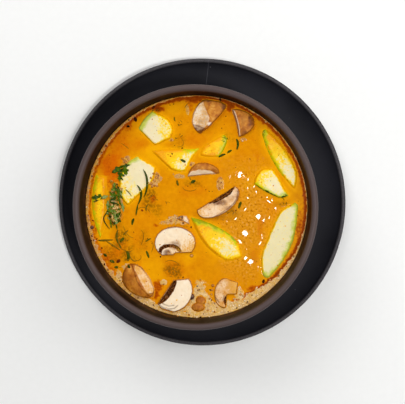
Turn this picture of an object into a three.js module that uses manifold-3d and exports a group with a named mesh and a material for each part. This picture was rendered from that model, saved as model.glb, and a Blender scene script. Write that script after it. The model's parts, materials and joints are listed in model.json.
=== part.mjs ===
// Tom yum soup in a round black stoneware bowl, which stands on a black underplate.
// Millimetres, +Z up. The origin is the middle of the underplate's foot ring, on the table.
// The bowl and the underplate are turned shapes. The soup fills the bowl up to its level and is
// cut round every piece of zucchini and mushroom that floats in it.

import * as THREE from 'three';
import { mergeVertices } from 'three/addons/utils/BufferGeometryUtils.js';
import Module from 'manifold-3d';

const wasm = await Module();
wasm.setup();

// ---------------------------------------------------------------- driving dimensions

const GAP = 0.3; // air left between two pieces that touch
const SAME_POINT = 1e-4; // vertices nearer than this are one
const TURNED_SEGMENTS = 60;
const QUARTER_TURN = 90;
const FULL_TURN = 360;

const PLATE = {
  radius: 101,
  lipTop: 12,
  lipWidth: 3,
  floorTop: 6,
  wellRadius: 76,
  bendRadius: 92,
  footInner: 55,
  footOuter: 63,
  footSlope: 1.2,
  recess: 1.4,
};

const BOWL = {
  radius: 80,
  rimTop: 66,
  wall: 4.3,
  floorTop: 12.5,
  footRadius: 40,
  footWidth: 5.5,
  footHeight: 2.6,
  footSlope: 1,
  recess: 2,
};

const SOUP = {
  level: 54,
  wallGap: 0.35,
  frothWidth: 3.2,
  frothRise: 0.35,
  frothDepth: 2.5,
};

const WALL_MARGIN = 1.8; // a floating piece keeps at least this far from the bowl's wall
const FOOD_CEILING = BOWL.rimTop - 4; // nothing that floats comes higher than this
const POCKET_RISE = 4; // how far a pocket is open above the piece in it
const EDGE = { zucchini: 0.8, slice: 0.6, chip: 0.4 }; // how far each kind's edges are worn off

const SHRED = { width: 0.9, endWidth: 0.5, rise: 0.45, sink: 0.6, steps: 3 };
const STALK_FLARE = 0.62; // half of a stalk's width where it meets the cap, as a share of it
const GILL_DEPTH = 1;
const THINNEST_ARCH = 0.2;

const MOST_STEPS_ON_A_SIDE = 5;
const CAP_ARC_STEPS = 14;
const GILL_STEPS = 5;
const BALL_STEPS = 7;
const RIM_STEPS = 6;
const OUTER_WALL_STEPS = 7;
const INNER_WALL_STEPS = 9;
const SOUP_WALL_STEPS = 10;
const FROTH_STEPS = 2;
const SLOPE_STEPS = 3;
const ROOM_WALL_STEPS = 24;
const SEARCH_STEPS = 200;

// ---------------------------------------------------------------- helpers for solids

function signedVolume(geometry) {
  const position = geometry.attributes.position;
  const index = geometry.index;
  const a = new THREE.Vector3();
  const b = new THREE.Vector3();
  const c = new THREE.Vector3();
  let sum = 0;
  for (let i = 0; i < index.count; i += 3) {
    a.fromBufferAttribute(position, index.getX(i));
    b.fromBufferAttribute(position, index.getX(i + 1));
    c.fromBufferAttribute(position, index.getX(i + 2));
    sum += a.dot(b.cross(c)) / 6;
  }
  return sum;
}

// A closed three.js geometry as a solid, with its faces turned outwards.
function solidFrom(source) {
  const bare = source.clone();
  bare.deleteAttribute('normal');
  bare.deleteAttribute('uv');
  const merged = mergeVertices(bare, SAME_POINT);
  const outwards = signedVolume(merged) > 0;
  const index = merged.index;
  const corners = [];
  for (let i = 0; i < index.count; i += 3) {
    const first = index.getX(i);
    const second = index.getX(i + 1);
    const third = index.getX(i + 2);
    if (first === second || second === third || third === first) continue;
    corners.push(first, outwards ? second : third, outwards ? third : second);
  }
  return new wasm.Manifold(new wasm.Mesh({
    numProp: 3,
    vertProperties: new Float32Array(merged.attributes.position.array),
    triVerts: new Uint32Array(corners),
  }));
}

function geometryFrom(solid) {
  const mesh = solid.getMesh();
  const geometry = new THREE.BufferGeometry();
  const vertices = new Float32Array(mesh.vertProperties);
  geometry.setAttribute('position', new THREE.BufferAttribute(vertices, 3));
  geometry.setIndex(new THREE.BufferAttribute(new Uint32Array(mesh.triVerts), 1));
  geometry.computeVertexNormals();
  return geometry;
}

function turned(profile) {
  const geometry = new THREE.LatheGeometry(profile, TURNED_SEGMENTS);
  geometry.rotateX(Math.PI / 2);
  return solidFrom(geometry);
}

function at(radius, height) {
  return new THREE.Vector2(radius, height);
}

function radians(degrees) {
  return degrees * Math.PI / 180;
}

// ---------------------------------------------------------------- helpers for outlines

// An outline through corners that run anticlockwise. Each corner is [x, y, swell], and swell is
// how far the side that starts there bows outwards. A side gets more points the more it bows.
function outline(corners) {
  const points = [];
  corners.forEach(([x, y, swell], i) => {
    const [nextX, nextY] = corners[(i + 1) % corners.length];
    const length = Math.hypot(nextX - x, nextY - y);
    const pull = at(
      (x + nextX) / 2 + 2 * swell * (nextY - y) / length,
      (y + nextY) / 2 - 2 * swell * (nextX - x) / length,
    );
    const side = new THREE.QuadraticBezierCurve(at(x, y), pull, at(nextX, nextY));
    const steps = 1 + Math.min(Math.round(2 * Math.abs(swell)), MOST_STEPS_ON_A_SIDE - 1);
    points.push(...side.getPoints(steps).slice(0, -1));
  });
  return new THREE.Shape(points);
}

// The section of a sliced mushroom, from its named sizes: the cap is an arc of an ellipse that
// curls in at both lips, and what is left of the stalk stands on the line between the lips.
function mushroomSection({ width, height, curl, stalk, stalkLength, stalkShift }) {
  const lipY = -height * Math.sin(radians(curl));
  const arc = new THREE.EllipseCurve(0, 0, width / 2, height, radians(-curl), radians(180 + curl));
  const foot = [
    at(stalkShift - stalk * STALK_FLARE, lipY),
    at(stalkShift - stalk / 2, lipY - stalkLength),
    at(stalkShift + stalk / 2, lipY - stalkLength),
    at(stalkShift + stalk * STALK_FLARE, lipY),
  ];
  return arc.getPoints(CAP_ARC_STEPS).concat(stalkLength > 0 ? foot : []);
}

// The dark gills of a slice: an arched band under the flesh of the cap, sunk a little.
function gillBand({ gillReach, gillRise, gillWidth, gillShift, gillBase }) {
  const innerReach = gillReach - gillWidth;
  const innerRise = Math.max(gillRise - gillWidth, THINNEST_ARCH);
  const outer = new THREE.EllipseCurve(gillShift, gillBase, gillReach, gillRise, 0, Math.PI);
  const inner = new THREE.EllipseCurve(gillShift, gillBase, innerReach, innerRise, 0, Math.PI);
  return outer.getPoints(GILL_STEPS).concat(inner.getPoints(GILL_STEPS).reverse());
}

// A thin strip along a bent line through three points.
function strip(from, through, to, width) {
  const line = new THREE.SplineCurve([at(...from), at(...through), at(...to)]);
  const left = [];
  const right = [];
  for (let i = 0; i <= SHRED.steps; i += 1) {
    const t = i / SHRED.steps;
    const point = line.getPoint(t);
    const along = line.getTangent(t);
    const fullness = SHRED.endWidth + (1 - SHRED.endWidth) * Math.sin(Math.PI * t);
    const half = width / 2 * fullness;
    left.push(at(point.x - along.y * half, point.y + along.x * half));
    right.unshift(at(point.x + along.y * half, point.y - along.x * half));
  }
  return new THREE.Shape(left.concat(right));
}

// An outline made into a slab with rounded edges, from one height up to another.
function slab(shape, bottom, top, edge) {
  const geometry = new THREE.ExtrudeGeometry(shape, {
    depth: top - bottom - 2 * edge,
    bevelEnabled: edge > 0,
    bevelThickness: edge,
    bevelSize: edge,
    bevelOffset: -edge,
    bevelSegments: 1,
  });
  geometry.translate(0, 0, bottom + edge);
  return geometry;
}

// The same outline grown all round by the gap, as the pocket that the soup leaves for it.
function pocketSlab(shape, bottom, top) {
  const geometry = new THREE.ExtrudeGeometry(shape, {
    depth: top - bottom,
    bevelEnabled: true,
    bevelThickness: 0,
    bevelSize: 0,
    bevelOffset: GAP,
    bevelSegments: 1,
  });
  geometry.translate(0, 0, bottom);
  return geometry;
}

// ---------------------------------------------------------------- the dish

const STANDING = PLATE.floorTop + GAP; // height at which the bowl's foot stands

const INNER_WALL = new THREE.CubicBezierCurve(
  at(0, BOWL.floorTop),
  at(0.74 * BOWL.radius, BOWL.floorTop),
  at(0.865 * BOWL.radius, 0.44 * BOWL.rimTop),
  at(BOWL.radius - BOWL.wall, BOWL.rimTop - BOWL.wall / 2),
);

const OUTER_WALL = new THREE.CubicBezierCurve(
  at(BOWL.footRadius + BOWL.footSlope, STANDING + BOWL.footHeight),
  at(0.725 * BOWL.radius, STANDING + BOWL.footHeight),
  at(0.94 * BOWL.radius, 0.47 * BOWL.rimTop),
  at(BOWL.radius, BOWL.rimTop - BOWL.wall / 2),
);

// Points up a wall's curve, moved in and up by inset, as far as they stay below highest.
function wallPoints(curve, steps, inset, highest) {
  const points = [];
  for (const point of curve.getPoints(steps)) {
    if (point.y > highest) break;
    points.push(at(Math.max(point.x - inset, 0), point.y + inset));
  }
  return points;
}

// Radius of the bowl's inside at a height, found along the wall's curve.
function innerRadius(height) {
  const points = INNER_WALL.getPoints(SEARCH_STEPS);
  const above = points.findIndex((point) => point.y >= height);
  return points[above].x;
}

// Points over the top of a rounded lip, from its outer side to its inner one.
function lipPoints(outerRadius, top, width) {
  const half = width / 2;
  const arc = new THREE.EllipseCurve(outerRadius - half, top - half, half, half, 0, Math.PI);
  return arc.getPoints(RIM_STEPS).slice(1, -1);
}

function makeUnderplate() {
  const { radius, lipTop, lipWidth, floorTop, wellRadius, bendRadius } = PLATE;
  const { footInner, footOuter, footSlope, recess } = PLATE;
  const lipLow = lipTop - lipWidth / 2;
  const underside = new THREE.QuadraticBezierCurve(
    at(footOuter + footSlope, recess),
    at(bendRadius, recess),
    at(radius, lipLow),
  );
  const slope = new THREE.QuadraticBezierCurve(
    at(radius - lipWidth, lipLow),
    at(bendRadius, floorTop),
    at(wellRadius, floorTop),
  );
  return turned([
    at(0, recess),
    at(footInner - footSlope, recess),
    at(footInner, 0),
    at(footOuter, 0),
    ...underside.getPoints(SLOPE_STEPS),
    ...lipPoints(radius, lipTop, lipWidth),
    ...slope.getPoints(SLOPE_STEPS),
    at(0, floorTop),
  ]);
}

function makeBowl() {
  const { wall, rimTop, radius, footRadius, footWidth, footSlope, recess } = BOWL;
  return turned([
    at(0, STANDING + recess),
    at(footRadius - footWidth - footSlope, STANDING + recess),
    at(footRadius - footWidth, STANDING),
    at(footRadius, STANDING),
    ...wallPoints(OUTER_WALL, OUTER_WALL_STEPS, 0, rimTop),
    ...lipPoints(radius, rimTop, wall),
    ...wallPoints(INNER_WALL, INNER_WALL_STEPS, 0, rimTop).reverse(),
  ]);
}

// What fits inside the bowl with a margin to its wall, up to a height.
function insideOfBowl(margin, top) {
  const profile = wallPoints(INNER_WALL, ROOM_WALL_STEPS, margin, top - margin);
  profile.push(at(innerRadius(top) - margin, top));
  profile.push(at(0, top));
  return turned(profile);
}

// ---------------------------------------------------------------- zucchini

// Chunks of zucchini, cut on the slant, lying with a cut face up. Each has its outline, the
// height of its top above the soup, its thickness and how it tips, in degrees about X and Y.
const ZUCCHINI = {
  zucchini_end_piece: {
    corners: [[-37.8, 51.7, 0.2], [-26.9, 40.6, 0.2], [-16.6, 45.2, 2.6], [-18.3, 58.2, 0.5],
      [-28.6, 63, 1]],
    rise: 1.6,
    thick: 9,
    tip: [1.2, -1],
  },
  zucchini_under_herbs: {
    corners: [[-38.7, 33.4, 0.6], [-47.2, 27, 0.9], [-51, 12.5, 1.5], [-45, 0.8, 0.2],
      [-29.8, 15.4, 1], [-26.4, 26.5, 0.4]],
    rise: 1.3,
    thick: 9,
    tip: [0, 0],
  },
  zucchini_sunken_tail: {
    corners: [[2.9, 38.9, -0.4], [-10, 38.4, 0.4], [-29.4, 37.3, 0.3], [-16.6, 24.9, 0.9],
      [-6.4, 23.6, -0.7]],
    rise: 1,
    thick: 8.5,
    tip: [-1.2, 1],
  },
  zucchini_sunken_slab: {
    corners: [[18.4, 47.8, 0.3], [5.3, 40.4, 0.6], [2.8, 34, 0.8], [15.4, 33, 0.8],
      [21.2, 44.5, 0.6]],
    rise: 0.8,
    thick: 8,
    tip: [0.8, 0.8],
  },
  zucchini_long_wedge: {
    corners: [[46, 51.4, 0.7], [43.3, 48.6, 3], [64.9, 11.8, 0.6], [66.6, 23, 2.6]],
    rise: 1.3,
    thick: 8,
    tip: [0, -1.2],
  },
  zucchini_short_wedge: {
    corners: [[48.2, 25.6, 1], [41.9, 24, 0.9], [38.3, 15.5, 0.7], [53.9, 6.8, 0.8], [61, 8, 0.1],
      [51.8, 24.2, 0.7]],
    rise: 1.7,
    thick: 8.5,
    tip: [-1, 0.6],
  },
  zucchini_half_moon: {
    corners: [[65.3, 3.4, 0.3], [55.3, -2.3, 0.4], [44.3, -28, 1.3], [44.4, -44.3, 1],
      [48.5, -46.1, 1.6], [64.2, -21.5, 0.6], [67.2, 0.3, 0.7]],
    rise: 2,
    thick: 9,
    tip: [0.6, -0.8],
  },
  zucchini_middle_wedge: {
    corners: [[-3, -6.6, 4.2], [19.7, -35.4, 1.1], [31.5, -32.4, 1.8], [21.4, -17, 1.3]],
    rise: 1.2,
    thick: 8.5,
    tip: [0.8, 0.6],
  },
  zucchini_by_the_wall: {
    corners: [[-59.2, 20.4, 0.5], [-66.2, 21.2, 4.2], [-63.6, -21.2, 0.8], [-59.6, -2.7, 0.4]],
    rise: 0.9,
    thick: 7,
    tip: [0, 0],
  },
};

// ---------------------------------------------------------------- mushrooms

// Slices of button mushroom that lie with the cut face up. heading is the way the crown points,
// and the section's sizes are across and along that way from the middle of the cap's ellipse.
const MUSHROOM_SLICES = {
  mushroom_slice_arched: {
    middle: [15, 3.7],
    heading: -57.8,
    section: { width: 32, height: 8.8, curl: 21, stalk: 0, stalkLength: 0, stalkShift: 0 },
    gills: { gillReach: 10, gillRise: 2.9, gillWidth: 2.6, gillShift: -4.6, gillBase: -3.6 },
    rise: 2.1,
    thick: 6,
    tip: [-1.5, 1.5],
    cuts: [],
  },
  mushroom_slice_whole: {
    middle: [-13.6, -23.6],
    heading: 92,
    section: { width: 28, height: 11.3, curl: 38, stalk: 8, stalkLength: 1.4, stalkShift: -5.2 },
    gills: { gillReach: 7.8, gillRise: 5.4, gillWidth: 2, gillShift: -3.6, gillBase: -6 },
    rise: 1.9,
    thick: 6,
    tip: [1, 0],
    cuts: [],
  },
  mushroom_slice_upturned: {
    middle: [-14.2, -56.6],
    heading: -34,
    section: { width: 28, height: 12, curl: 26, stalk: 0, stalkLength: 0, stalkShift: 0 },
    gills: { gillReach: 10.4, gillRise: 3.8, gillWidth: 3.4, gillShift: 1.6, gillBase: -4.8 },
    rise: 2.6,
    thick: 6,
    tip: [1.5, 2.5],
    cuts: [[[-8, -47.3, 54], [-0.1, 1, 0]]],
  },
  mushroom_slice_tan: {
    middle: [19.4, -56.6],
    heading: 173,
    section: { width: 20.6, height: 7.2, curl: 16, stalk: 8.4, stalkLength: 6, stalkShift: 4.2 },
    gills: { gillReach: 4.2, gillRise: 3.4, gillWidth: 1.7, gillShift: -4.8, gillBase: -3.4 },
    rise: 1.4,
    thick: 5.5,
    tip: [0, -1],
    cuts: [],
  },
};

// Pieces of mushroom cap that show their rounded skin. Each is a dome over its outline, trimmed
// by slanted knife cuts; a cut has a point on it and the way its face looks.
const MUSHROOM_CAPS = {
  mushroom_cap_broad: {
    corners: [[-2.6, 57.5, 1.6], [3, 47.9, 0.5], [12.6, 56, 0.4], [20.4, 65.4, 0.8], [19, 68, 1.6],
      [4.6, 70.6, 1.5]],
    middle: [10, 60.6],
    radii: [15.4, 12.2],
    turn: 38,
    crown: 4.2,
    depth: 6,
    cuts: [[[8, 59.5, 57.9], [-0.3, 0.02, 0.95]]],
  },
  mushroom_cap_half: {
    corners: [[23.4, 64.3, -0.7], [28.1, 45.9, 1.6], [38.8, 53.4, 2], [33.5, 62.8, 0.9]],
    middle: [27.4, 55.4],
    radii: [12.4, 10.6],
    turn: -14,
    crown: 4.2,
    depth: 6,
    cuts: [[[27.6, 55.4, 57.6], [-0.85, -0.2, 0.48]]],
  },
  mushroom_cap_crescent: {
    corners: [[-5.6, 19.9, -0.3], [15.9, 21.9, 1.2], [12.8, 27.4, 1.6], [0, 28.9, 1.2]],
    middle: [5.6, 21.6],
    radii: [12.2, 9],
    turn: 6,
    crown: 3.6,
    depth: 6,
    cuts: [[[5.4, 25.2, 57.1], [0.06, -0.52, 0.85]]],
  },
  mushroom_cap_ridged: {
    corners: [[-43.6, -37.3, 1.9], [-49.2, -49.8, 1.8], [-37.4, -59.7, 0.9], [-27.6, -60.2, 0.6],
      [-27.7, -53, 0.9], [-36.2, -39.4, 0.8]],
    middle: [-38.2, -49],
    radii: [14, 10.8],
    turn: -60,
    crown: 4.6,
    depth: 6,
    cuts: [[[-37.4, -48.2, 58.1], [0.43, 0.2, 0.88]]],
  },
};

// A scrap of cap with two lobes, and a chip with a bit of gill on it.
const MUSHROOM_SCRAP = {
  lobes: [[3.4, -61.9, 3.7, 3.5], [1.6, -66.4, 4.9, 3.2]],
  crown: 1.6,
};
const MUSHROOM_CHIP = {
  corners: [[-12.4, -7.9, 0.4], [-7.6, -9.6, 0.2], [-3.8, -11.9, 0.7], [-5.7, -5.7, 0.5],
    [-11, -5.5, 0.6]],
  rise: 1,
  thick: 3.5,
  tip: [0, 0],
};

// ---------------------------------------------------------------- herbs

// Shreds of leaf that float on the soup: three points each, in the plan.
const SHREDS_ON_SOUP = [
  [[-39.4, -6.6], [-40.2, -9.2], [-41.7, -11.6]],
  [[-9.8, 20.6], [-11.4, 18.4], [-10.6, 15.4]],
  [[15.6, 29.6], [18.4, 30.4], [21.4, 31.8]],
  [[22.4, 35.4], [23.2, 36.8], [24.6, 37.9]],
  [[26.9, 44.4], [27.9, 41.4], [27.4, 38.2]],
  [[31.4, 4.3], [30.6, 2], [29.2, -0.2]],
  [[-33.2, -23.2], [-31.6, -21.4], [-29, -20]],
  [[-32.4, -8.3], [-29.4, -6.6], [-27.3, -3.4]],
  [[-33.4, -34.4], [-32.3, -31.2], [-31.9, -28.4]],
  [[-45.4, -34.6], [-45.1, -31.4], [-47.4, -28.2]],
  [[-60.8, -24.4], [-55, -24.7], [-50.4, -24.1]],
  [[-52.6, -22.4], [-50.2, -18.2], [-46.3, -14.4]],
  [[-39.4, 2.2], [-40.4, -0.8], [-41.3, -3.6]],
  [[-58.3, -13.4], [-59.4, -9.6], [-58.4, -6.6]],
];

// Shreds that lie on the chunk of zucchini under the herbs.
const SHREDS_ON_ZUCCHINI = [
  [[-34.3, 24.3], [-32.6, 19.4], [-33, 15]],
  [[-38.3, 14.6], [-36.6, 11.2], [-37.4, 9.6]],
];

// The heap of chopped coriander: a low core with leaflets standing proud of it.
const HERB_HEAP = {
  core: [[-52, 16.4, 0.3], [-55.6, 15.4, 0.8], [-57.6, 3, 0.6], [-57.2, -8.6, 1],
    [-52.6, -12.6, 0.8], [-48.2, -5.4, 0.6], [-51.8, 5.6, -0.5]],
  spine: [[-52.6, 16], [-53, 9], [-53.4, 0], [-53.4, -10.8]],
  thick: 1.8,
  edge: 0.4,
  leaflets: 11,
  sideways: 2,
  sideTurn: 110,
  shortest: 0.75,
  longest: 1.15,
  lowest: 0.2,
  highest: 0.5,
  seed: 7,
};
const LEAFLET = {
  length: 6,
  width: 2.6,
  tipWidth: 0.22,
  thick: 0.6,
  wave: 0.35,
  curl: 0.42,
  lengthSteps: 4,
  widthSteps: 2,
};

// Small sprigs beside the heap: leaflets joined end to end, each [x, y, heading, length].
const HERB_SPRIGS = {
  herb_sprig_back: {
    base: 2.1,
    leaflets: [[-52.2, 25.4, 28, 6.4], [-47.3, 27.4, 18, 6.2], [-49.6, 24, 62, 7.4],
      [-50.6, 20.4, 80, 4.6]],
  },
  herb_sprig_left: {
    base: 1.8,
    leaflets: [[-65.6, 7.6, 6, 5.4], [-62.2, 6.4, -18, 5.6], [-61, 7.8, 24, 3.4]],
  },
};

// ---------------------------------------------------------------- making the food

function centreOf(corners) {
  const sum = corners.reduce((total, [x, y]) => [total[0] + x, total[1] + y], [0, 0]);
  return [sum[0] / corners.length, sum[1] / corners.length];
}

// Tips a geometry about the horizontal axes through a point at the soup's level.
function tipped(geometry, [x, y], [aboutX, aboutY]) {
  geometry.translate(-x, -y, -SOUP.level);
  geometry.rotateX(radians(aboutX));
  geometry.rotateY(radians(aboutY));
  geometry.translate(x, y, SOUP.level);
  return geometry;
}

// A floating slab and the pocket that the soup leaves for it.
function floating(shape, middle, { rise, thick, tip }, edge) {
  const top = SOUP.level + rise;
  const body = tipped(slab(shape, top - thick, top, edge), middle, tip);
  const room = tipped(pocketSlab(shape, top - thick - GAP, top + POCKET_RISE), middle, tip);
  return { body: solidFrom(body), pocket: solidFrom(room) };
}

// Turns points of a slice's own plan so that its crown points along heading, and places them.
function placed(points, { heading, middle }) {
  const turn = radians(heading - QUARTER_TURN);
  const centre = at(0, 0);
  return new THREE.Shape(points.map((point) => {
    point.rotateAround(centre, turn);
    return at(point.x + middle[0], point.y + middle[1]);
  }));
}

function slicePiece(piece) {
  const shape = placed(mushroomSection(piece.section), piece);
  const food = floating(shape, piece.middle, piece, EDGE.slice);
  const top = SOUP.level + piece.rise;
  const band = slab(placed(gillBand(piece.gills), piece), top - GILL_DEPTH, top + 1, 0);
  food.body = food.body.subtract(solidFrom(tipped(band, piece.middle, piece.tip)));
  for (const cut of piece.cuts) {
    food.body = food.body.subtract(beyondCut(cut));
  }
  return food;
}

// The faces round a ball follow its size, but never fall under twelve.
function ball(middle, radii, turn, height) {
  const round = Math.max(12, 2 * Math.round(0.6 * radii[0]));
  const geometry = new THREE.SphereGeometry(1, round, BALL_STEPS);
  geometry.rotateX(Math.PI / 2);
  geometry.scale(radii[0], radii[1], height);
  geometry.rotateZ(radians(turn));
  geometry.translate(middle[0], middle[1], SOUP.level);
  return solidFrom(geometry);
}

// Everything on the far side of a slanted knife cut, as a block to take away.
function beyondCut([point, face]) {
  const size = 80;
  const block = new THREE.BoxGeometry(size, size, size);
  block.translate(0, 0, size / 2);
  const turn = new THREE.Quaternion().setFromUnitVectors(
    new THREE.Vector3(0, 0, 1),
    new THREE.Vector3(...face).normalize(),
  );
  block.applyQuaternion(turn);
  block.translate(...point);
  return solidFrom(block);
}

function capPiece({ corners, middle, radii, turn, crown, depth, cuts }) {
  const shape = outline(corners);
  const low = SOUP.level - depth;
  const sunk = solidFrom(slab(shape, low, SOUP.level, 0));
  const column = solidFrom(slab(shape, low, SOUP.level + 2 * crown, 0));
  let body = ball(middle, radii, turn, crown).intersect(column).add(sunk);
  for (const cut of cuts) {
    body = body.subtract(beyondCut(cut));
  }
  const pocket = solidFrom(pocketSlab(shape, low - GAP, SOUP.level + crown));
  return { body, pocket };
}

// Flattened balls side by side, half sunk in the soup.
function scrapPiece({ lobes, crown }) {
  function joined(extra) {
    const balls = lobes.map(([x, y, across, along]) => (
      ball([x, y], [across + extra, along + extra], 0, crown + extra)
    ));
    return balls.reduce((sum, lobe) => sum.add(lobe));
  }
  return { body: joined(0), pocket: joined(GAP) };
}

// A thin leaflet, widest at its middle, with a wave along it and its sides curled up.
function leaflet([x, y], heading, length, height) {
  const { width, tipWidth, thick, wave, curl, lengthSteps, widthSteps } = LEAFLET;
  const geometry = new THREE.BoxGeometry(length, width, thick, lengthSteps, widthSteps, 1);
  const position = geometry.attributes.position;
  for (let i = 0; i < position.count; i += 1) {
    const along = position.getX(i) / length;
    const across = position.getY(i) / width;
    const roundness = Math.sqrt(Math.max(0, 1 - 4 * along * along));
    const ripple = wave * Math.sin(2 * Math.PI * along) + curl * across * across;
    position.setY(i, position.getY(i) * (tipWidth + (1 - tipWidth) * roundness));
    position.setZ(i, position.getZ(i) + ripple);
  }
  geometry.rotateZ(radians(heading));
  geometry.translate(x, y, height);
  return solidFrom(geometry);
}

// Even draws between 0 and 1 from a whole-number seed.
function drawsFrom(seed) {
  let state = seed;
  return () => {
    state = (state * 48271) % 2147483647;
    return state / 2147483647;
  };
}

function makeHerbHeap() {
  const { core, spine, thick, edge, leaflets, sideways, sideTurn, seed } = HERB_HEAP;
  const { shortest, longest, lowest, highest } = HERB_HEAP;
  const draw = drawsFrom(seed);
  const bottom = SOUP.level + GAP;
  const top = bottom + thick;
  const line = new THREE.SplineCurve(spine.map((point) => at(...point)));
  let heap = solidFrom(slab(outline(core), bottom, top, edge));
  for (let i = 0; i < leaflets; i += 1) {
    const place = line.getPoint((i + 0.5) / leaflets);
    const side = (i % 3 - 1) * sideways;
    const heading = (draw() - 0.5) * (side === 0 ? FULL_TURN : sideTurn);
    const length = LEAFLET.length * (shortest + (longest - shortest) * draw());
    const height = top + lowest + (highest - lowest) * draw();
    heap = heap.add(leaflet([place.x + side, place.y], heading, length, height));
  }
  return heap;
}

function makeSprig({ base, leaflets }) {
  const height = SOUP.level + base;
  return leaflets
    .map(([x, y, heading, length]) => leaflet([x, y], heading, length, height))
    .reduce((sum, leaf) => sum.add(leaf));
}

function shredOn(level, [from, through, to]) {
  const shape = strip(from, through, to, SHRED.width);
  return solidFrom(slab(shape, level - SHRED.sink, level + SHRED.rise, 0));
}

// ---------------------------------------------------------------- putting it together

const MATERIALS = {
  plate: new THREE.MeshStandardMaterial({ color: 0x26252b, roughness: 0.55, metalness: 0 }),
  bowl: new THREE.MeshStandardMaterial({ color: 0x37302d, roughness: 0.4, metalness: 0 }),
  soup: new THREE.MeshStandardMaterial({ color: 0xe69a12, roughness: 0.25, metalness: 0 }),
  zucchini: new THREE.MeshStandardMaterial({ color: 0xefe6c4, roughness: 0.4, metalness: 0 }),
  mushroom: new THREE.MeshStandardMaterial({ color: 0xe2c7a4, roughness: 0.5, metalness: 0 }),
  herb: new THREE.MeshStandardMaterial({ color: 0x2f6420, roughness: 0.45, metalness: 0 }),
};

const group = new THREE.Group();

function addPart(name, solid, material) {
  const mesh = new THREE.Mesh(geometryFrom(solid), material.clone());
  mesh.name = name;
  group.add(mesh);
}

// The soup follows the inside of the bowl up to its level, with a low ring of froth by the wall.
function makeSoup(pockets) {
  const { level, wallGap, frothWidth, frothRise, frothDepth } = SOUP;
  const edge = innerRadius(level) - wallGap;
  const froth = new THREE.QuadraticBezierCurve(
    at(edge, level + frothRise / 2),
    at(edge - frothWidth / 2, level + 2 * frothRise),
    at(edge - frothWidth, level),
  );
  let body = turned([
    ...wallPoints(INNER_WALL, SOUP_WALL_STEPS, wallGap, level - frothDepth),
    ...froth.getPoints(FROTH_STEPS),
    at(0, level),
  ]);
  for (const pocket of pockets) {
    body = body.subtract(pocket);
  }
  for (const shred of SHREDS_ON_SOUP) {
    body = body.add(shredOn(level, shred));
  }
  return body;
}

const roomForFood = insideOfBowl(WALL_MARGIN, FOOD_CEILING);
const roomForPockets = insideOfBowl(WALL_MARGIN - GAP, FOOD_CEILING);
const pockets = [];

function addFood(name, { body, pocket }, material) {
  pockets.push(pocket.intersect(roomForPockets));
  addPart(name, body.intersect(roomForFood), material);
}

addPart('underplate', makeUnderplate(), MATERIALS.plate);
addPart('bowl', makeBowl(), MATERIALS.bowl);

for (const [name, piece] of Object.entries(ZUCCHINI)) {
  const food = floating(outline(piece.corners), centreOf(piece.corners), piece, EDGE.zucchini);
  if (name === 'zucchini_under_herbs') {
    for (const shred of SHREDS_ON_ZUCCHINI) {
      food.body = food.body.add(shredOn(SOUP.level + piece.rise, shred));
    }
  }
  addFood(name, food, MATERIALS.zucchini);
}

for (const [name, piece] of Object.entries(MUSHROOM_SLICES)) {
  addFood(name, slicePiece(piece), MATERIALS.mushroom);
}

for (const [name, piece] of Object.entries(MUSHROOM_CAPS)) {
  addFood(name, capPiece(piece), MATERIALS.mushroom);
}

const chipShape = outline(MUSHROOM_CHIP.corners);
const chipMiddle = centreOf(MUSHROOM_CHIP.corners);
addFood('mushroom_scrap', scrapPiece(MUSHROOM_SCRAP), MATERIALS.mushroom);
addFood('mushroom_chip', floating(chipShape, chipMiddle, MUSHROOM_CHIP, EDGE.chip), MATERIALS.mushroom);

addPart('soup', makeSoup(pockets), MATERIALS.soup);
addPart('herb_heap', makeHerbHeap(), MATERIALS.herb);
for (const [name, sprig] of Object.entries(HERB_SPRIGS)) {
  addPart(name, makeSprig(sprig), MATERIALS.herb);
}

export default group;
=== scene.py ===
"""A black stoneware bowl of tom yum soup on its underplate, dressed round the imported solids.

Lengths inside the making functions are millimetres, and a mesh is scaled to metres when it is
made. +Z is up, and the origin is the middle of the underplate's foot ring.
"""

import json
import math

import bmesh
import bpy
import numpy as np
from bpy.props import FloatProperty, FloatVectorProperty, IntProperty, PointerProperty
from mathutils import Matrix, Vector, kdtree
from mathutils.bvhtree import BVHTree

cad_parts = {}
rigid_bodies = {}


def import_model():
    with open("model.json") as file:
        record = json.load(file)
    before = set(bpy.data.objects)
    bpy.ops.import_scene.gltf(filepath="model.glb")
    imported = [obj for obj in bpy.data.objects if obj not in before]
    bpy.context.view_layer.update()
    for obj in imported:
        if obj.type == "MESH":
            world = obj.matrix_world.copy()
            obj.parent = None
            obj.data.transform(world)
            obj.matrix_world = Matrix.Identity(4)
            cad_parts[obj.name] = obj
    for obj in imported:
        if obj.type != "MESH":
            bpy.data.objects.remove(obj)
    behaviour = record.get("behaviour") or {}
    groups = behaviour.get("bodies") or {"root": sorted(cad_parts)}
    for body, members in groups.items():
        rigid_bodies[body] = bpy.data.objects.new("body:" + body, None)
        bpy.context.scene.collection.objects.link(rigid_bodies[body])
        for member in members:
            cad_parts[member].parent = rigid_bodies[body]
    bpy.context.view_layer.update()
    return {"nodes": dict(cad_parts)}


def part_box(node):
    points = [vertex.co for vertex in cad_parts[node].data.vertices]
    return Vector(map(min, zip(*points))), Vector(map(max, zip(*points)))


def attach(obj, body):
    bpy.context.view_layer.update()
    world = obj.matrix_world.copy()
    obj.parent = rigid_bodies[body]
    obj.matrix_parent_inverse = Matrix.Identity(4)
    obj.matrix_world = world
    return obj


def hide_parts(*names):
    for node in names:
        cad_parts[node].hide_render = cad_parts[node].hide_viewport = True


bl_info = {
    "name": "Bowl of Tom Yum Soup",
    "version": (1, 0, 0),
    "blender": (4, 5, 0),
    "location": "View3D > Sidebar > Soup",
    "description": "A black stoneware bowl of tom yum soup on its underplate",
    "category": "Object",
}

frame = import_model()

MM = 0.001
BODY = "root"


def top_of(node):
    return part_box(node)[1].z / MM


def radius_of(node):
    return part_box(node)[1].x / MM


# ------------------------------------------------------------------ sizes, in millimetres

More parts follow.
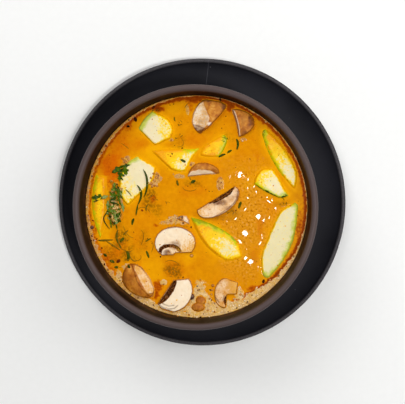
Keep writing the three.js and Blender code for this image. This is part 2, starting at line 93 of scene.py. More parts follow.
PLATE_RADIUS = radius_of("underplate")
PLATE_TOP = top_of("underplate")
PLATE_LIP = 3.0
PLATE_FLOOR = 6.0
PLATE_WELL = 76.0
PLATE_BEND = 92.0
PLATE_FOOT = (55.0, 63.0)
PLATE_RECESS = 1.4
PLATE_FOOT_SLOPE = 1.2

BOWL_RADIUS = radius_of("bowl")
RIM_TOP = top_of("bowl")
BOWL_WALL = 4.3
BOWL_FLOOR = 12.5
BOWL_FOOT = 40.0
BOWL_FOOT_WIDTH = 5.5
BOWL_FOOT_RECESS = 2.0
BOWL_FOOT_SLOPE = 1.0
BOWL_STANDING = PLATE_FLOOR + 0.3
SHARP_ANGLE = math.radians(35)

SOUP_LEVEL = 54.0
SOUP_EDGE = radius_of("soup")
# Faces across the surface, and how far the soup's closed body stays off the wall.
SOUP_CELLS = 300
WALL_GAP = 0.3

# Along the wall, by the angle round the bowl in degrees: how wide the froth is, how pale it is, and how much
# red oil has gathered inside it, which along the top is also painted shadow of the wall.
WALL_ANGLES = (0, 30, 60, 90, 110, 130, 180, 220, 250, 280, 300, 318, 335, 350)
FROTH_WIDTHS = (0.5, 0.4, 0.5, 0.5, 0.9, 1.6, 1.9, 2.6, 3.8, 5.4, 5.8, 3.6, 1.6, 0.7)
FROTH_PALENESS = (0.5, 0.4, 0.4, 0.2, 0.1, 0.1, 0.15, 0.35, 0.85, 1.0, 1.0, 0.95, 0.8, 0.6)
OIL_AND_SHADE_STRENGTHS = (0.95, 0.85, 0.85, 0.95, 0.95, 0.75, 0.5, 0.45, 0.1, 0.0, 0.8, 1.0, 1.0, 1.0)

# Patches on the soup: middle, reach across and along, and strength.
FROTH_PATCHES = (
    (-26.8, 17.8, 3.4, 4.9, 1), (-46, 31.2, 3.3, 2.9, 0.9), (-10.8, 20.6, 4.2, 1.9, 0.8),
    (-2.4, 28.4, 2.6, 1.8, 0.7), (16.2, 15, 2.2, 4.4, 0.7), (-13, -8.6, 7, 3, 0.75),
    (-21.6, -50, 2.6, 1.8, 0.8), (1.4, -62, 9, 11, 1), (28.6, -57.6, 3.4, 4.2, 0.75),
    (31.4, 44.6, 3.6, 1.3, 0.6), (-5.4, 63.6, 1.2, 3.6, 0.7), (-15.8, 44.4, 1.9, 1.4, 0.7),
    (-52.4, 2, 4.6, 9.6, 0.9), (-46.6, 19.8, 2.4, 4.2, 0.5), (60.6, 1.2, 6.4, 1.2, 0.35),
    (-45, -40, 4.6, 2.6, 0.7), (-51, -49, 2.8, 7, 0.85), (-38.6, -62, 7.4, 3.2, 0.95),
    (18.4, -66, 12, 5, 0.95), (-22, -68, 13, 4.4, 1), (-20.6, -10.4, 4, 1.6, 0.6),
)
# Red oil, and painted shadow in the patches by the top of the wall and round the broad and half caps.
OIL_AND_SHADE_PATCHES = (
    (-57.4, 27.6, 2.8, 6.6, 0.3), (-59.4, 14.6, 3.4, 3.6, 0.34), (-25.8, -52.6, 3.6, 3.6, 0.62),
    (-27.4, -57.6, 2.6, 3, 0.75), (-28, 5.6, 2, 3, 0.5), (38.6, -53.4, 6, 1.8, 0.62),
    (-24.6, 64.6, 3.6, 2, 0.95), (-26.6, -12, 1.6, 1.2, 0.5), (42.6, -12, 2.2, 11, 0.3),
    (39, -32, 3, 6, 0.25), (60, 34.4, 1.6, 8, 0.55), (-66.6, -12.6, 1.6, 5, 0.6),
    (-60, -34.6, 3.6, 2.8, 0.45), (40.6, 32.6, 1.4, 4, 0.3), (-45, 55, 3.2, 5.6, 0.5),
    (22.8, 66.2, 2.6, 3.4, 0.85), (37.6, 55, 1.8, 5, 0.5), (68, -14, 2.6, 12, 0.5), (0, 71, 7, 2.6, 0.85),
    (-3.4, 66.5, 1.8, 4.5, 0.4),
)
WARM_PATCHES = (
    (-51, 42, 9, 13, 0.5), (-57, 24, 6.6, 11, 1), (-38, 40, 7, 5, 0.35), (-57, -28, 10, 10, 0.5),
    (-36, -18, 7, 12, 0.2), (2, 42, 9, 5, 0.35), (-2, 10, 8, 4, 0.25), (50, 0, 8, 9, 0.25),
    (-12, -42, 9, 4.5, 0.4),
)
YELLOW_PATCHES = (
    (-27, 34, 10, 7, 0.7), (-64, 14, 4, 8, 0.8), (-60, -20, 5, 8, 0.45), (-29, -41, 7, 11, 0.4),
    (18, 38, 6, 5, 0.5), (-13, 65, 6, 4, 0.35), (27, -31, 4, 3, 0.6), (36, 14, 4, 6, 0.45),
    (-5, -30, 4, 9, 0.45), (17, -68, 8, 3, 0.8),
)
# Where the lively side is grained, with a pale painted sheen for the lamp's broken reflection.
GRAIN_AND_SHEEN_PATCHES = ((34, -6, 15, 25, 1), (30, -36, 13, 14, 0.7), (48, -6, 12, 10, 0.6), (34, 22, 17, 12, 0.4))
# Where chopped leaf lies just under the surface and browns it.
MURK_PATCHES = (
    (-30, 5, 4.6, 6.4, 0.75), (-25.6, -1.6, 3.4, 4, 0.5), (-16.4, -41, 6, 4, 0.7),
    (-12, -44.4, 3.4, 2.6, 0.8), (-48.6, -21, 5, 4.6, 0.75), (-45.6, -31, 4.4, 5, 0.65),
    (-57, -33, 4.6, 5.4, 0.5), (-12, -14, 5.6, 2.6, 0.45), (24.4, -4, 4.4, 3.4, 0.4),
    (20.8, 45, 3.4, 3, 0.5), (-2, 15.6, 4.4, 2.4, 0.5), (57, 2.2, 5, 1.8, 0.6), (-27, 64.2, 3, 2.2, 0.5),
    (-11, 43, 3.6, 5, 0.25), (-34.6, -22, 3, 6, 0.3), (16, -6.6, 6, 1.8, 0.45),
)
# Broken glints of the lamp on the lively side of the soup: place, half length and width, heading.
GLINTS = (
    (22.6, 20.3, 1.7, 0.66, 90), (29, 21.5, 2.6, 1.7, 0), (25.4, 21.8, 1.5, 0.66, 0),
    (32.2, 20.7, 1.3, 0.66, -20), (34.5, 18.5, 1.3, 0.8, 75), (34.3, 12.9, 1.1, 0.66, 100),
    (38.3, 13.6, 0.8, 0.66, 0), (39.9, 10.2, 1.1, 0.66, -50), (34.4, 6.1, 0.8, 0.66, 0),
    (46.9, 6.6, 0.8, 0.66, 0), (48.4, 3.8, 2.3, 0.66, -32), (50.2, 4.3, 1.3, 0.66, -55),
    (52.5, -0.5, 0.8, 0.66, 0), (32.7, -1.3, 1.5, 0.66, 55), (26.4, -7.5, 1.2, 0.66, 30),
    (20.8, -8.9, 0.8, 0.66, 0), (41.6, -6.1, 1.9, 1.4, -15), (44.7, -7.3, 1.5, 1.2, 80),
    (48.4, -6.6, 1.3, 0.66, 68), (32.7, -16.9, 2.2, 1.7, 0), (26, -20, 0.8, 0.8, 0),
    (29.3, -22.5, 1.9, 0.9, -28), (33.8, -27.4, 0.8, 0.66, 0), (43.7, -19, 2.2, 0.66, 88),
    (42.4, -23.5, 1.8, 0.66, 48), (33.3, -33.7, 1.4, 1.2, 0), (36, -35.9, 2.4, 1.4, 15),
    (41.2, -39, 0.9, 0.66, -20),
)
# How many half sizes out a glint ends.
GLINT_EDGE = 1.45
# The soup goes from still to lively between these places along x.
LIVELY_FROM, LIVELY_TO = 12.0, 36.0

# Zucchini: the line in plan where a piece keeps its skin; the film of soup, as how thick where it
# starts and where it ends, and those places; how far soup creeps in over the edge; how much of the
# skin is dark green, and how far the flesh is dulled, where they are.
ZUCCHINI = {
    "zucchini_end_piece": {
        "skin": ((-28.8, 62.4), (-33.0, 58.0), (-37.4, 51.6)),
        "film": (0.0, 0.32, (-27.5, 50.5), (-22.5, 51.5)), "creep": 0.7,
    },
    "zucchini_under_herbs": {
        "skin": ((-38.7, 33.6), (-43.4, 31.0), (-47.6, 27.0)),
        "film": (0.0, 0.34, (-38.0, 22.0), (-50.0, 12.0)), "creep": 0.8,
    },
    "zucchini_sunken_tail": {
        "skin": ((3.2, 39.2), (-2.0, 39.4), (-6.0, 39.0)),
        "film": (0.9, 0.2, (-17.0, 37.0), (-9.6, 29.0)), "creep": 1.1,
    },
    "zucchini_sunken_slab": {
        "skin": ((18.6, 48.2), (21.4, 44.7), (19.4, 38.6), (16.4, 33.6)),
        "film": (0.62, 0.8, (16.0, 46.0), (9.0, 35.0)), "creep": 1.1, "dark": 0.4,
    },
    "zucchini_long_wedge": {
        "skin": ((45.4, 51.4), (43.6, 46.4), (45.8, 38.4), (49.8, 29.6), (55.6, 21.4)),
        "film": (0.84, 0.1, (49.0, 44.0), (62.0, 24.0)), "creep": 1.1, "dark": 0.45,
    },
    "zucchini_short_wedge": {
        "skin": ((40.0, 14.6), (46.0, 10.0), (53.9, 6.6), (61.2, 7.6)),
        "film": (0.5, 0.1, (40.0, 19.0), (50.0, 14.0)), "creep": 0.9, "dark": 1.0,
    },
    "zucchini_half_moon": {
        "skin": ((43.6, -44.0), (48.7, -46.4), (58.0, -35.4), (64.6, -21.6), (67.6, 0.3), (65.3, 3.6)),
        "film": (0.1, 0.05, (60.0, 0.0), (54.0, -12.0)), "creep": 0.9, "dark": 0.1, "dull": 0.6,
    },
    "zucchini_middle_wedge": {
        "skin": ((-3.4, -7.2), (9.0, -10.8), (21.7, -16.8), (26.6, -21.6)),
        "film": (0.74, 0.22, (4.0, -14.0), (19.0, -27.0)), "creep": 1.9, "dark": 0.4, "dull": 0.3,
    },
    "zucchini_by_the_wall": {
        "skin": ((-67.0, 21.4), (-69.6, 10.0), (-69.4, -6.0), (-63.8, -21.4)),
        "film": (0.5, 0.55, (-64.0, 18.0), (-62.0, -18.0)), "creep": 2.4,
    },
}

# Slices: middle, heading of the crown, the arch of gills (reach, rise, width, shift and base), how
# brown the flesh is, and the film of soup as on the zucchini.
MUSHROOM_SLICES = {
    "mushroom_slice_arched": {
        "middle": (15.0, 3.7), "heading": -57.8,
        "gills": (10.6, 4.2, 3.6, -4.6, -4.0), "toast": 0.62,
        "film": (0.0, 0.9, (9.0, -0.6), (1.6, -4.6)),
    },
    "mushroom_slice_whole": {
        "middle": (-13.6, -23.6), "heading": 92.0,
        "gills": (7.8, 5.4, 2.3, -3.6, -6.0), "toast": 0.05,
        "film": (0.0, 1.1, (-12.5, -22.0), (-6.0, -31.0)),
    },
    "mushroom_slice_upturned": {
        "middle": (-14.2, -56.6), "heading": -34.0,
        "gills": (10.4, 3.8, 3.4, 1.6, -4.8), "toast": 0.0,
    },
    "mushroom_slice_tan": {
        "middle": (19.4, -56.6), "heading": 173.0,
        "gills": (4.2, 3.4, 1.7, -4.8, -3.4), "toast": 1.2,
        "film": (0.0, 0.8, (17.5, -55.5), (27.0, -54.0)),
    },
}
NO_FILM = (0.0, 0.0, (0.0, 0.0), (1.0, 0.0))
# Caps: a point on the knife cut, the way the cut faces, how brown it is, its film of soup, and the
# line that the cut lies to the right of.
MUSHROOM_CAPS = {
    "mushroom_cap_broad": {
        "point": (8.0, 59.5, 57.9), "face": (-0.3, 0.02, 0.95), "toast": 0.45,
        "film": (0.0, 0.42, (2.0, 52.0), (2.6, 55.0)),
        "skin_line": ((5.0, 70.0), (5.4, 67.0), (7.5, 62.5), (9.5, 58.0), (12.8, 54.5), (14.0, 50.0)),
    },
    "mushroom_cap_half": {"point": (27.6, 55.4, 57.6), "face": (-0.85, -0.2, 0.48), "toast": 0.2},
    "mushroom_cap_crescent": {
        "point": (5.4, 25.2, 57.1), "face": (0.06, -0.52, 0.85), "toast": 0.25,
        "skin_line": ((-9.0, 18.5), (-7.0, 20.2), (-3.0, 23.4), (2.2, 24.8), (8.9, 24.5), (13.5, 22.1),
                      (16.0, 19.0)),
    },
    "mushroom_cap_ridged": {
        "point": (-37.4, -48.2, 58.1), "face": (0.43, 0.2, 0.88), "toast": 0.9,
        "film": (0.5, 0.5, (0.0, 0.0), (1.0, 0.0)),
        "skin_line": ((-30.6, -59.5), (-33.5, -54.4), (-37.5, -46.8), (-40.5, -40.7), (-41.9, -36.6)),
    },
}
# Dark lines on the mushrooms, as lines in plan: brown cut skins, and painted shade along folds and under the
# crescent's edge.
SKIN_AND_FOLD_SHADE_LINES = (
    ((-24.9, -30.7), (-26.8, -27.8), (-28.2, -24.5), (-28, -21.5), (-26.5, -18.5), (-24.2, -16.2),
     (-20.9, -14.5), (-16.9, -13.6), (-12.3, -12.9), (-8.3, -13.6), (-5, -15.5)),
    ((-26.2, -29.1), (-24.2, -27.4), (-22.2, -25.8), (-20.2, -24.5)),
    ((-25.5, -32.7), (-22.2, -33.1), (-18.9, -32.6), (-16.3, -31.4)),
    ((6.2, -6.9), (10.8, -6.8), (16.1, -4.3), (21.4, -0.7), (25.4, 3), (27.7, 6.9), (28, 10.9)),
    ((-42.7, -37.3), (-40.1, -43.3), (-38.7, -48.6), (-35.4, -53.9), (-30.8, -59.2)),
    ((-25.8, -62.7), (-24.6, -64.3), (-21.7, -66.4), (-17.6, -67.6), (-13.9, -67), (-11.8, -65.1)),
    ((-23.3, -62.7), (-20.9, -64.3), (-17.6, -65.5), (-14.3, -65)),
    ((4.2, 19.8), (7.5, 19.2), (11.5, 19.8)),
    ((-3, 54.5), (1.6, 53.5), (6.6, 51.5)),
    ((11.8, -49.2), (11.5, -53.9), (12.8, -59.2), (15.5, -62.5)),
    ((18.8, -58.5), (18.1, -61.1), (19.4, -63.8)),
)
# Where the mushrooms are painted deep brown: stem stubs and pits, and painted shade in hollows, on shaded
# cap edges and where the wall's shadow falls on the broad cap.
BROWN_AND_SHADE_SPOTS = (
    (2.2, 51.5, 4.4, 2.6, 0.8), (3.6, 56.4, 1.8, 2.2, 0.55), (-18.9, -30.1, 3, 2, 0.75),
    (-13, -26.1, 3.6, 2.9, 0.65), (14.1, 3.4, 6.6, 2.4, 0.7), (9.5, 4.6, 2.6, 1.7, 0.6),
    (36, 57, 2.4, 6, 0.8), (30, 64.6, 5, 1.8, 0.7), (32.7, 48.6, 3.3, 2, 0.8),
    (-42.4, -48.6, 2.6, 2.6, 0.5), (-46.7, -45.9, 2.1, 7.3, 0.5), (-39.4, -56.5, 3.3, 3.3, 0.3),
    (20.1, -61.1, 1.2, 3, 0.9), (1.6, 26.1, 3, 1.3, 0.45), (-2.6, -65.8, 3, 2.6, 0.5),
    (-10, -6.7, 1.7, 1.6, 1.2), (-13.6, -7.6, 2, 1.3, 0.8), (6.5, 59.2, 2.2, 5.3, 0.4),
    (19.6, 66.4, 2.6, 5, 0.85), (8.9, 71.6, 7, 2.4, 0.8), (28, 8.3, 1.6, 5.3, 0.6),
    (22.1, -0.3, 4, 1.3, 0.5), (-14.9, -25.4, 2, 1.3, 0.5), (16.1, -45.9, 1.6, 5.3, 0.35),
    (23.4, 6.6, 3.4, 2.6, 0.4), (31.6, 58, 2.4, 5.6, 0.45),
)
# Where the mushrooms are painted palest: pale fresh cuts, and painted highlights on wet edges and glossy
# spots.
HIGHLIGHT_AND_PALE_SPOTS = (
    (-6.6, -10.2, 0.8, 3.3, 0.9), (1.9, 62.5, 3, 3.3, 0.6), (-0.6, 56.4, 0.9, 2.8, 0.8),
    (23.7, 63.8, 0.7, 5.9, 0.8), (25.1, 55.9, 0.6, 4, 0.8), (-23.8, -33.1, 3.3, 1.3, 0.6),
    (9.3, 54.6, 1.6, 1.2, 0.8),
)

# Shreds of leaf: their line in plan, then width and how brown they are.
SHREDS = (
    ((-41, -7.6), (-41.9, -9.6), (-42.3, -12), 1.56, 0.1),
    ((-38.3, 1.7), (-39, -1.7), (-39.7, -5.6), 1.08, 0.2),
    ((-12.3, 17.8), (-12, 15.8), (-11.4, 14.2), 1.44, 0.45),
    ((15.2, 33), (17.2, 34.2), (19.7, 35), 1.44, 0.1),
    ((20.8, 35.6), (22.3, 36.9), (23.8, 37.6), 1.32, 0.15),
    ((26.7, 44.9), (27.8, 42), (27.1, 38), 1.56, 0.15), ((30, 3.9), (29.1, 1.7), (28.3, -0.7), 1.68, 0.2),
    ((-33.4, -23.1), (-31.7, -21.9), (-29.7, -20.8), 0.96, 0.5),
    ((-32.9, -29.2), (-31.9, -31.4), (-31.2, -33.8), 1.56, 0.25),
    ((-46.3, -29.4), (-44.9, -32.1), (-45.1, -36), 2.04, 0.2),
    ((-65.2, -22.3), (-60.8, -22.4), (-55, -21.9), 1.32, 0.6),
    ((-59.5, -23.1), (-54.9, -25.8), (-50.4, -28.9), 1.2, 0.7),
    ((-51.7, -15.3), (-52.7, -20.2), (-51.3, -24.5), 1.56, 0.45),
    ((-50.4, -23.1), (-49, -21.9), (-47.7, -20.6), 1.92, 0.3),
    ((-48.3, -18.8), (-46.7, -17.1), (-44.9, -15.5), 0.96, 0.6),
    ((-51.3, -24.5), (-50.4, -26.1), (-49.6, -27.4), 0.96, 0.3),
    ((-61.6, -31.3), (-60.4, -32.2), (-59.2, -33), 1.56, 0.15),
    ((-57.5, -36), (-55.9, -36.3), (-54.2, -37.1), 1.92, 0.15),
    ((-54.2, -40), (-53, -40.3), (-51.7, -40), 1.68, 0.3),
    ((-45.1, -38.4), (-44.3, -39.3), (-43.5, -40.3), 1.8, 0.1),
    ((-3, 15.8), (-1.7, 16.9), (0, 17.5), 1.92, 0.2),
    ((-13.6, 59.4), (-14, 57.8), (-13.2, 56.5), 0.84, 0.5),
    ((-44, -32.7), (-41.6, -35.8), (-39, -35.6), 0.72, 0.75),
    ((-31.7, 1.7), (-32.8, -0.7), (-32.8, -2.7), 0.96, 0.5),
)
SHREDS_ON_ZUCCHINI = (
    ((-34.5, 24.8), (-31.9, 16.9), (-34, 6.9), 1.5, 0.15),
    ((-38.6, 14.5), (-36.1, 8.9), (-38.3, 1.7), 1.56, 0.15),
    ((-9.9, 31.4), (-7.9, 30.5), (-6.6, 29.7), 1.62, 0.1),
    ((-46.4, 11.7), (-44.3, 9.8), (-42.4, 7.1), 0.62, 0.5),
)
# Thin curls of stem and spice in the soup's skin, through four points each.
CURLS = (
    ((-9.6, 45.4), (-8, 42.6), (-8.8, 40.4), (-11.6, 39.8)),
    ((-8.4, 13.6), (-6.6, 11.2), (-2.4, 10.8), (0.6, 12.6)),
    ((-38.4, -2), (-35.6, -0.2), (-32, -1.4), (-30.2, -4.4)),
    ((-40.6, -33), (-39.2, -35.8), (-36.8, -34.6), (-37, -32.2)),
    ((-36.6, -15.2), (-34.6, -18.6), (-35.2, -22.4), (-36.2, -25.4)),
    ((-29.8, -22.6), (-28.2, -25.4), (-28.8, -28.4), (-29.2, -30.2)),
    ((-48.2, -12.4), (-46.4, -17), (-44, -19.6), (-41.6, -20.4)),
    ((-55.4, -23.6), (-50.6, -27.2), (-46.2, -29.4), (-42, -29)),
    ((-49.4, 42), (-47.4, 41), (-45.4, 39.4), (-44, 38.6)),
    ((-7.6, 64.6), (-6.6, 66.4), (-5.6, 67.6), (-4.6, 68.4)),
    ((-20.4, -36.6), (-16.4, -35.4), (-13, -36.6), (-11.2, -38.6)),
)
# Sunken wisps of leaf: middle, reach, and how many threads.
WISPS = (
    (-48.8, -21.6, 3.4, 8), (-45.4, -32.6, 3, 8), (-15.6, -42.4, 4.6, 12), (-29, 6.4, 3.4, 7),
    (23.6, -3.4, 3, 7), (-10.6, 54.6, 2.4, 4), (-11.4, 46.2, 1.6, 3), (20.4, 45.2, 2.2, 5),
    (-60.2, -31.8, 1.8, 4), (-55.8, -36.2, 1.7, 4), (-52.2, -40.2, 1.7, 3), (-26.4, 64, 1.6, 4),
    (56.6, 2.4, 3.2, 4), (-2.2, 16.9, 2, 6), (-19, 2.6, 0.8, 3),
)
# Seeds and dark bits, clear bubbles and ringed bubbles: place and radius.
SEEDS = (
    (-44.6, 53.2, 0.9), (-39.8, 57.8, 1.3), (-51.6, -36.2, 1.3), (-35.5, -2.3, 0.7), (44.8, -48.7, 1.1),
    (-60.6, -32.2, 0.6), (16.2, 70.6, 0.9), (-27.6, 65.8, 1), (-64.2, 38, 0.5), (-61, -38.4, 0.7),
    (-8.8, 38.9, 0.5), (-15.4, 35.2, 0.5), (-66, -21.4, 0.5), (-68.6, -9.2, 0.6), (-3, -13.2, 0.6),
    (-46.8, 27.6, 0.5), (-23.4, -33, 0.5), (26.6, -2, 0.5), (-55.6, -26, 0.5), (-35.2, -41.2, 0.35),
    (3.2, -73, 0.6), (9.6, -54.8, 0.55), (10.6, -61.6, 0.5), (12.4, -69.4, 0.6), (-62.6, -27.6, 0.6),
    (27.2, -66.6, 0.5), (34.4, -62.4, 0.45), (-8.4, -46.6, 0.5),
)
BIG_BUBBLES = (
    (-2.7, -59.4, 2), (-69.2, -13.8, 1.3), (1, -52.4, 0.5), (2.6, -54.8, 0.45), (11.4, -73, 0.5),
    (-28.2, -65.4, 0.6), (-43.6, -58.6, 0.5),
)
RINGED_BUBBLES = (
    (-29.8, 15.7, 1.25), (-27, 17.3, 0.8), (-27.2, 14.2, 0.8), (-29.5, 19.3, 0.8), (-26, 19.6, 0.9),
    (-27.8, 22.1, 0.8), (-25.2, 21.6, 0.7), (-25.4, 13.9, 0.7), (-29, 13.4, 0.7), (-47.3, 31, 0.8),
    (-46.1, 29.2, 0.9), (-48.6, 32, 0.7), (-44.6, 31.4, 0.7), (-2.7, -32.1, 1.2), (11.3, -51.9, 1),
    (10.9, -54.8, 0.8), (10.5, -57.7, 0.7), (9.4, -60.6, 0.6), (-16.4, -9, 0.9), (-9.8, -7.4, 0.8),
    (15.8, 12.4, 0.8), (15, 17, 0.7), (8, -68.4, 0.7), (-4.4, -71.6, 0.7), (14, -66.4, 0.6),
    (-12, -72.6, 0.6), (-45.4, -40.6, 0.7), (-49.6, -46.8, 0.7), (29.8, -57.6, 0.8), (28.6, -61, 0.6),
)

# Where the camera stands and what it looks at, in millimetres, and its focal length.
CAMERA_PLACE = (53.04, 42.08, 700.4)
CAMERA_TARGET = (1.38, 0.957, 12.0)
CAMERA_LENS = 87.63


# ------------------------------------------------------------------ colours


def linear(code):
    """An sRGB hex colour as linear red, green, blue and full cover."""
    shares = [int(code[i : i + 2], 16) / 255 for i in (1, 3, 5)]
    bent = [s / 12.92 if s <= 0.04045 else ((s + 0.055) / 1.055) ** 2.4 for s in shares]
    return (*bent, 1.0)


def colour_setting(label, description, code):
    return FloatVectorProperty(
        name=label, description=description, default=linear(code), size=4, min=0, max=1, subtype="COLOR"
    )


# ------------------------------------------------------------------ what a user may change


def length_setting(label, description, size):
    return FloatProperty(name=label, description=description, default=size * MM, unit="LENGTH", precision=5)


def power_setting(label, description, power):
    return FloatProperty(name=label, description=description, default=power, min=0, subtype="POWER")


class DishSettings(bpy.types.PropertyGroup):
    segments: IntProperty(
        name="Segments", description="Faces round the bowl and the underplate", default=240, min=48, max=400
    )
    plate_colour: colour_setting("Underplate", "Matte body of the underplate", "#1F1F26")
    plate_worn: colour_setting("Worn lip", "Where the underplate's lip is rubbed", "#5E5A5C")
    glaze_colour: colour_setting("Glaze", "Satin glaze of the bowl", "#150D0A")
    rim_colour: colour_setting("Rim", "Glaze worn grey over the rim", "#524543")
    # The colour of dried soup on the wall, which also paints the light on the inner wall towards -y.
    soup_line_and_light_colour: colour_setting("Tide line", "Soup dried on the wall above the level", "#4E3018")


class SoupSettings(bpy.types.PropertyGroup):
    ripple: length_setting("Ripple", "Height of the slow waves", 0.075)
    chop: length_setting("Chop", "Height of the quick waves on the lively side", 0.034)
    seed: IntProperty(name="Seed", description="Picks the waves and the scatter", default=11)
    broth: colour_setting("Broth", "Creamy orange broth", "#D68603")
    warm: colour_setting("Warm broth", "Broth with more chilli in it", "#CE5C04")
    gold: colour_setting("Gold broth", "Thin broth over pale food", "#F2AE06")
    haze: colour_setting("Haze", "Broth where the light catches it", "#DA9E4C")
    oil: colour_setting("Oil", "Red chilli oil", "#822C02")
    froth_tan: colour_setting("Tan froth", "Froth stained by the oil", "#B46C28")
    froth_cream: colour_setting("Cream froth", "Pale milky froth", "#E6C88E")


class FoodSettings(bpy.types.PropertyGroup):
    zucchini_voxel: length_setting("Zucchini grain", "Size of the fine mesh on zucchini", 0.46)
    mushroom_voxel: length_setting("Mushroom grain", "Size of the fine mesh on mushroom", 0.36)
    flesh: colour_setting("Zucchini flesh", "Boiled pale flesh", "#F0E2BC")
    lime: colour_setting("Under the skin", "Green flesh next to the skin", "#B4BE08")
    skin: colour_setting("Zucchini skin", "Dark green skin", "#24460C")
    film: colour_setting("Soup film", "Thin soup on pale food", "#F6CC10")
    mushroom_flesh: colour_setting("Mushroom flesh", "Cut face of a button mushroom", "#F6E8D0")
    mushroom_toast: colour_setting("Stained flesh", "Cut face that has soaked up broth", "#D79A4C")
    mushroom_skin: colour_setting("Mushroom skin", "Brown skin of the cap", "#C27A20")


class HerbSettings(bpy.types.PropertyGroup):
    leaflets: IntProperty(name="Leaflets", description="Small loose leaflets on the heap", default=26, min=1)
    seed: IntProperty(name="Seed", description="Picks how the leaflets lie", default=23)
    leaf: colour_setting("Leaf", "Wet coriander leaf", "#385000")
    # The palest leaf colour, which is also painted sheen of wet leaf.
    leaf_pale_and_sheen: colour_setting("Leaf light", "Underside and torn edges", "#94A05C")


class StageSettings(bpy.types.PropertyGroup):
    floor_colour: colour_setting("Floor", "Plain pale floor", "#F4F4F2")
    key_power: power_setting("Key", "Power of the key soft box", 6.3)
    fill_power: power_setting("Fill", "Power of the fill soft box", 3.8)
    lamp_power: power_setting("Lamp", "Power of the small lamp that makes the glints", 9.0)
    room_light: FloatProperty(name="Room", description="Brightness of the room's walls", default=0.62, min=0)


# ------------------------------------------------------------------ meshes


def in_scene(name, data):
    """A new object in the scene with some data."""
    thing = bpy.data.objects.new(name, data)
    bpy.context.scene.collection.objects.link(thing)
    return thing


def plain_mesh(name, points, faces, smooth=True):
    """A new object at the origin from points in millimetres and faces."""
    mesh = bpy.data.meshes.new(name)
    mesh.from_pydata((np.asarray(points, float) * MM).tolist(), [], faces)
    mesh.validate()
    mesh.polygons.foreach_set("use_smooth", [smooth] * len(mesh.polygons))
    return in_scene(name, mesh)


def face_outwards(piece):
    body = bmesh.new()
    body.from_mesh(piece.data)
    bmesh.ops.recalc_face_normals(body, faces=body.faces)
    body.to_mesh(piece.data)
    body.free()


def settle(piece, material, slot, *nodes):
    """Gives a finished piece its material and its place in the frame."""
    piece.data.materials.clear()
    piece.data.materials.append(material)
    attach(piece, BODY)
    if nodes:
        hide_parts(*nodes)


def store_all(mesh, looks):
    """Stores named values on a mesh, one for each of its points."""
    for name, values in looks.items():
        attribute = mesh.attributes.new(name, "FLOAT", "POINT")
        attribute.data.foreach_set("value", np.asarray(values, np.float32))


def read_points(mesh):
    """The places of a mesh's vertices, in millimetres."""
    flat = np.zeros(len(mesh.vertices) * 3, np.float32)
    mesh.vertices.foreach_get("co", flat)
    return flat.reshape(-1, 3).astype(float) / MM


def write_points(mesh, points):
    mesh.vertices.foreach_set("co", (points * MM).astype(np.float32).ravel())
    mesh.update()


def finish_shape(piece):
    """Keeps a piece's evaluated mesh as its own smooth plain mesh, with the modifiers gone."""
    graph = bpy.context.evaluated_depsgraph_get()
    mesh = bpy.data.meshes.new_from_object(piece.evaluated_get(graph))
    piece.modifiers.clear()
    piece.data = mesh
    mesh.name = piece.name
    mesh.polygons.foreach_set("use_smooth", [True] * len(mesh.polygons))


def bezier(points, steps):
    """A cubic curve through its four control points, as steps + 1 points."""
    t = np.linspace(0, 1, steps + 1)[:, None]
    a, b, c, d = (np.array(p, float) for p in points)
    return (1 - t) ** 3 * a + 3 * (1 - t) ** 2 * t * b + 3 * (1 - t) * t**2 * c + t**3 * d


def bent(points, steps):
    """A curve through three control points, as steps + 1 points."""
    t = np.linspace(0, 1, steps + 1)[:, None]
    a, b, c = (np.array(p, float) for p in points)
    return (1 - t) ** 2 * a + 2 * (1 - t) * t * b + t**2 * c


def lip(radius, top, width, steps):
    """Points over a round lip, from the outer side to the inner one."""
    half = width / 2
    turn = np.linspace(0, math.pi, steps + 1)[1:-1]
    return np.stack([radius - half + half * np.cos(turn), top - half + half * np.sin(turn)], 1)


def turned(name, profile, segments):
    """A closed turned body from a profile that starts and ends on the axis."""
    inner = profile[1:-1]
    turn = np.arange(segments) * 2 * math.pi / segments
    points = [(0, 0, profile[0][1])]
    for radius, height in inner:
        points += [(radius * math.cos(a), radius * math.sin(a), height) for a in turn]
    points.append((0, 0, profile[-1][1]))
    last = len(points) - 1
    faces = []
    for i in range(segments):
        j = (i + 1) % segments
        faces.append((0, 1 + j, 1 + i))
        for row in range(len(inner) - 1):
            low = 1 + row * segments
            high = low + segments
            faces.append((low + i, low + j, high + j, high + i))
        low = 1 + (len(inner) - 1) * segments
        faces.append((low + i, low + j, last))
    piece = plain_mesh(name, points, faces)
    face_outwards(piece)
    return piece


# ------------------------------------------------------------------ relief and distances

CLOUD_CELLS = 128
WELD_GAP = 0.001
RAY_START = 90.0


def cloud(x, y, size, seed):
    """Smooth random relief from about -1 to 1, with bumps about size millimetres apart."""
    total = 0
    for share, finer, turn in ((0.72, 1.0, seed), (0.36, 2.1, seed + 1.3)):
        lattice = np.random.default_rng(seed).uniform(-1, 1, (CLOUD_CELLS, CLOUD_CELLS))
        u = (x * math.cos(turn) - y * math.sin(turn)) * finer / size
        v = (x * math.sin(turn) + y * math.cos(turn)) * finer / size
        i, j = np.floor(u).astype(int), np.floor(v).astype(int)
        s, t = u - i, v - j
        s, t = s * s * (3 - 2 * s), t * t * (3 - 2 * t)
        i, j = i % CLOUD_CELLS, j % CLOUD_CELLS
        k, m = (i + 1) % CLOUD_CELLS, (j + 1) % CLOUD_CELLS
        low = lattice[i, j] * (1 - s) + lattice[k, j] * s
        high = lattice[i, m] * (1 - s) + lattice[k, m] * s
        total = total + share * (low * (1 - t) + high * t)
    return total


def ease(low, high, value):
    """From 0 at low to 1 at high, with soft ends."""
    share = np.clip((value - low) / (high - low), 0, 1)
    return share * share * (3 - 2 * share)


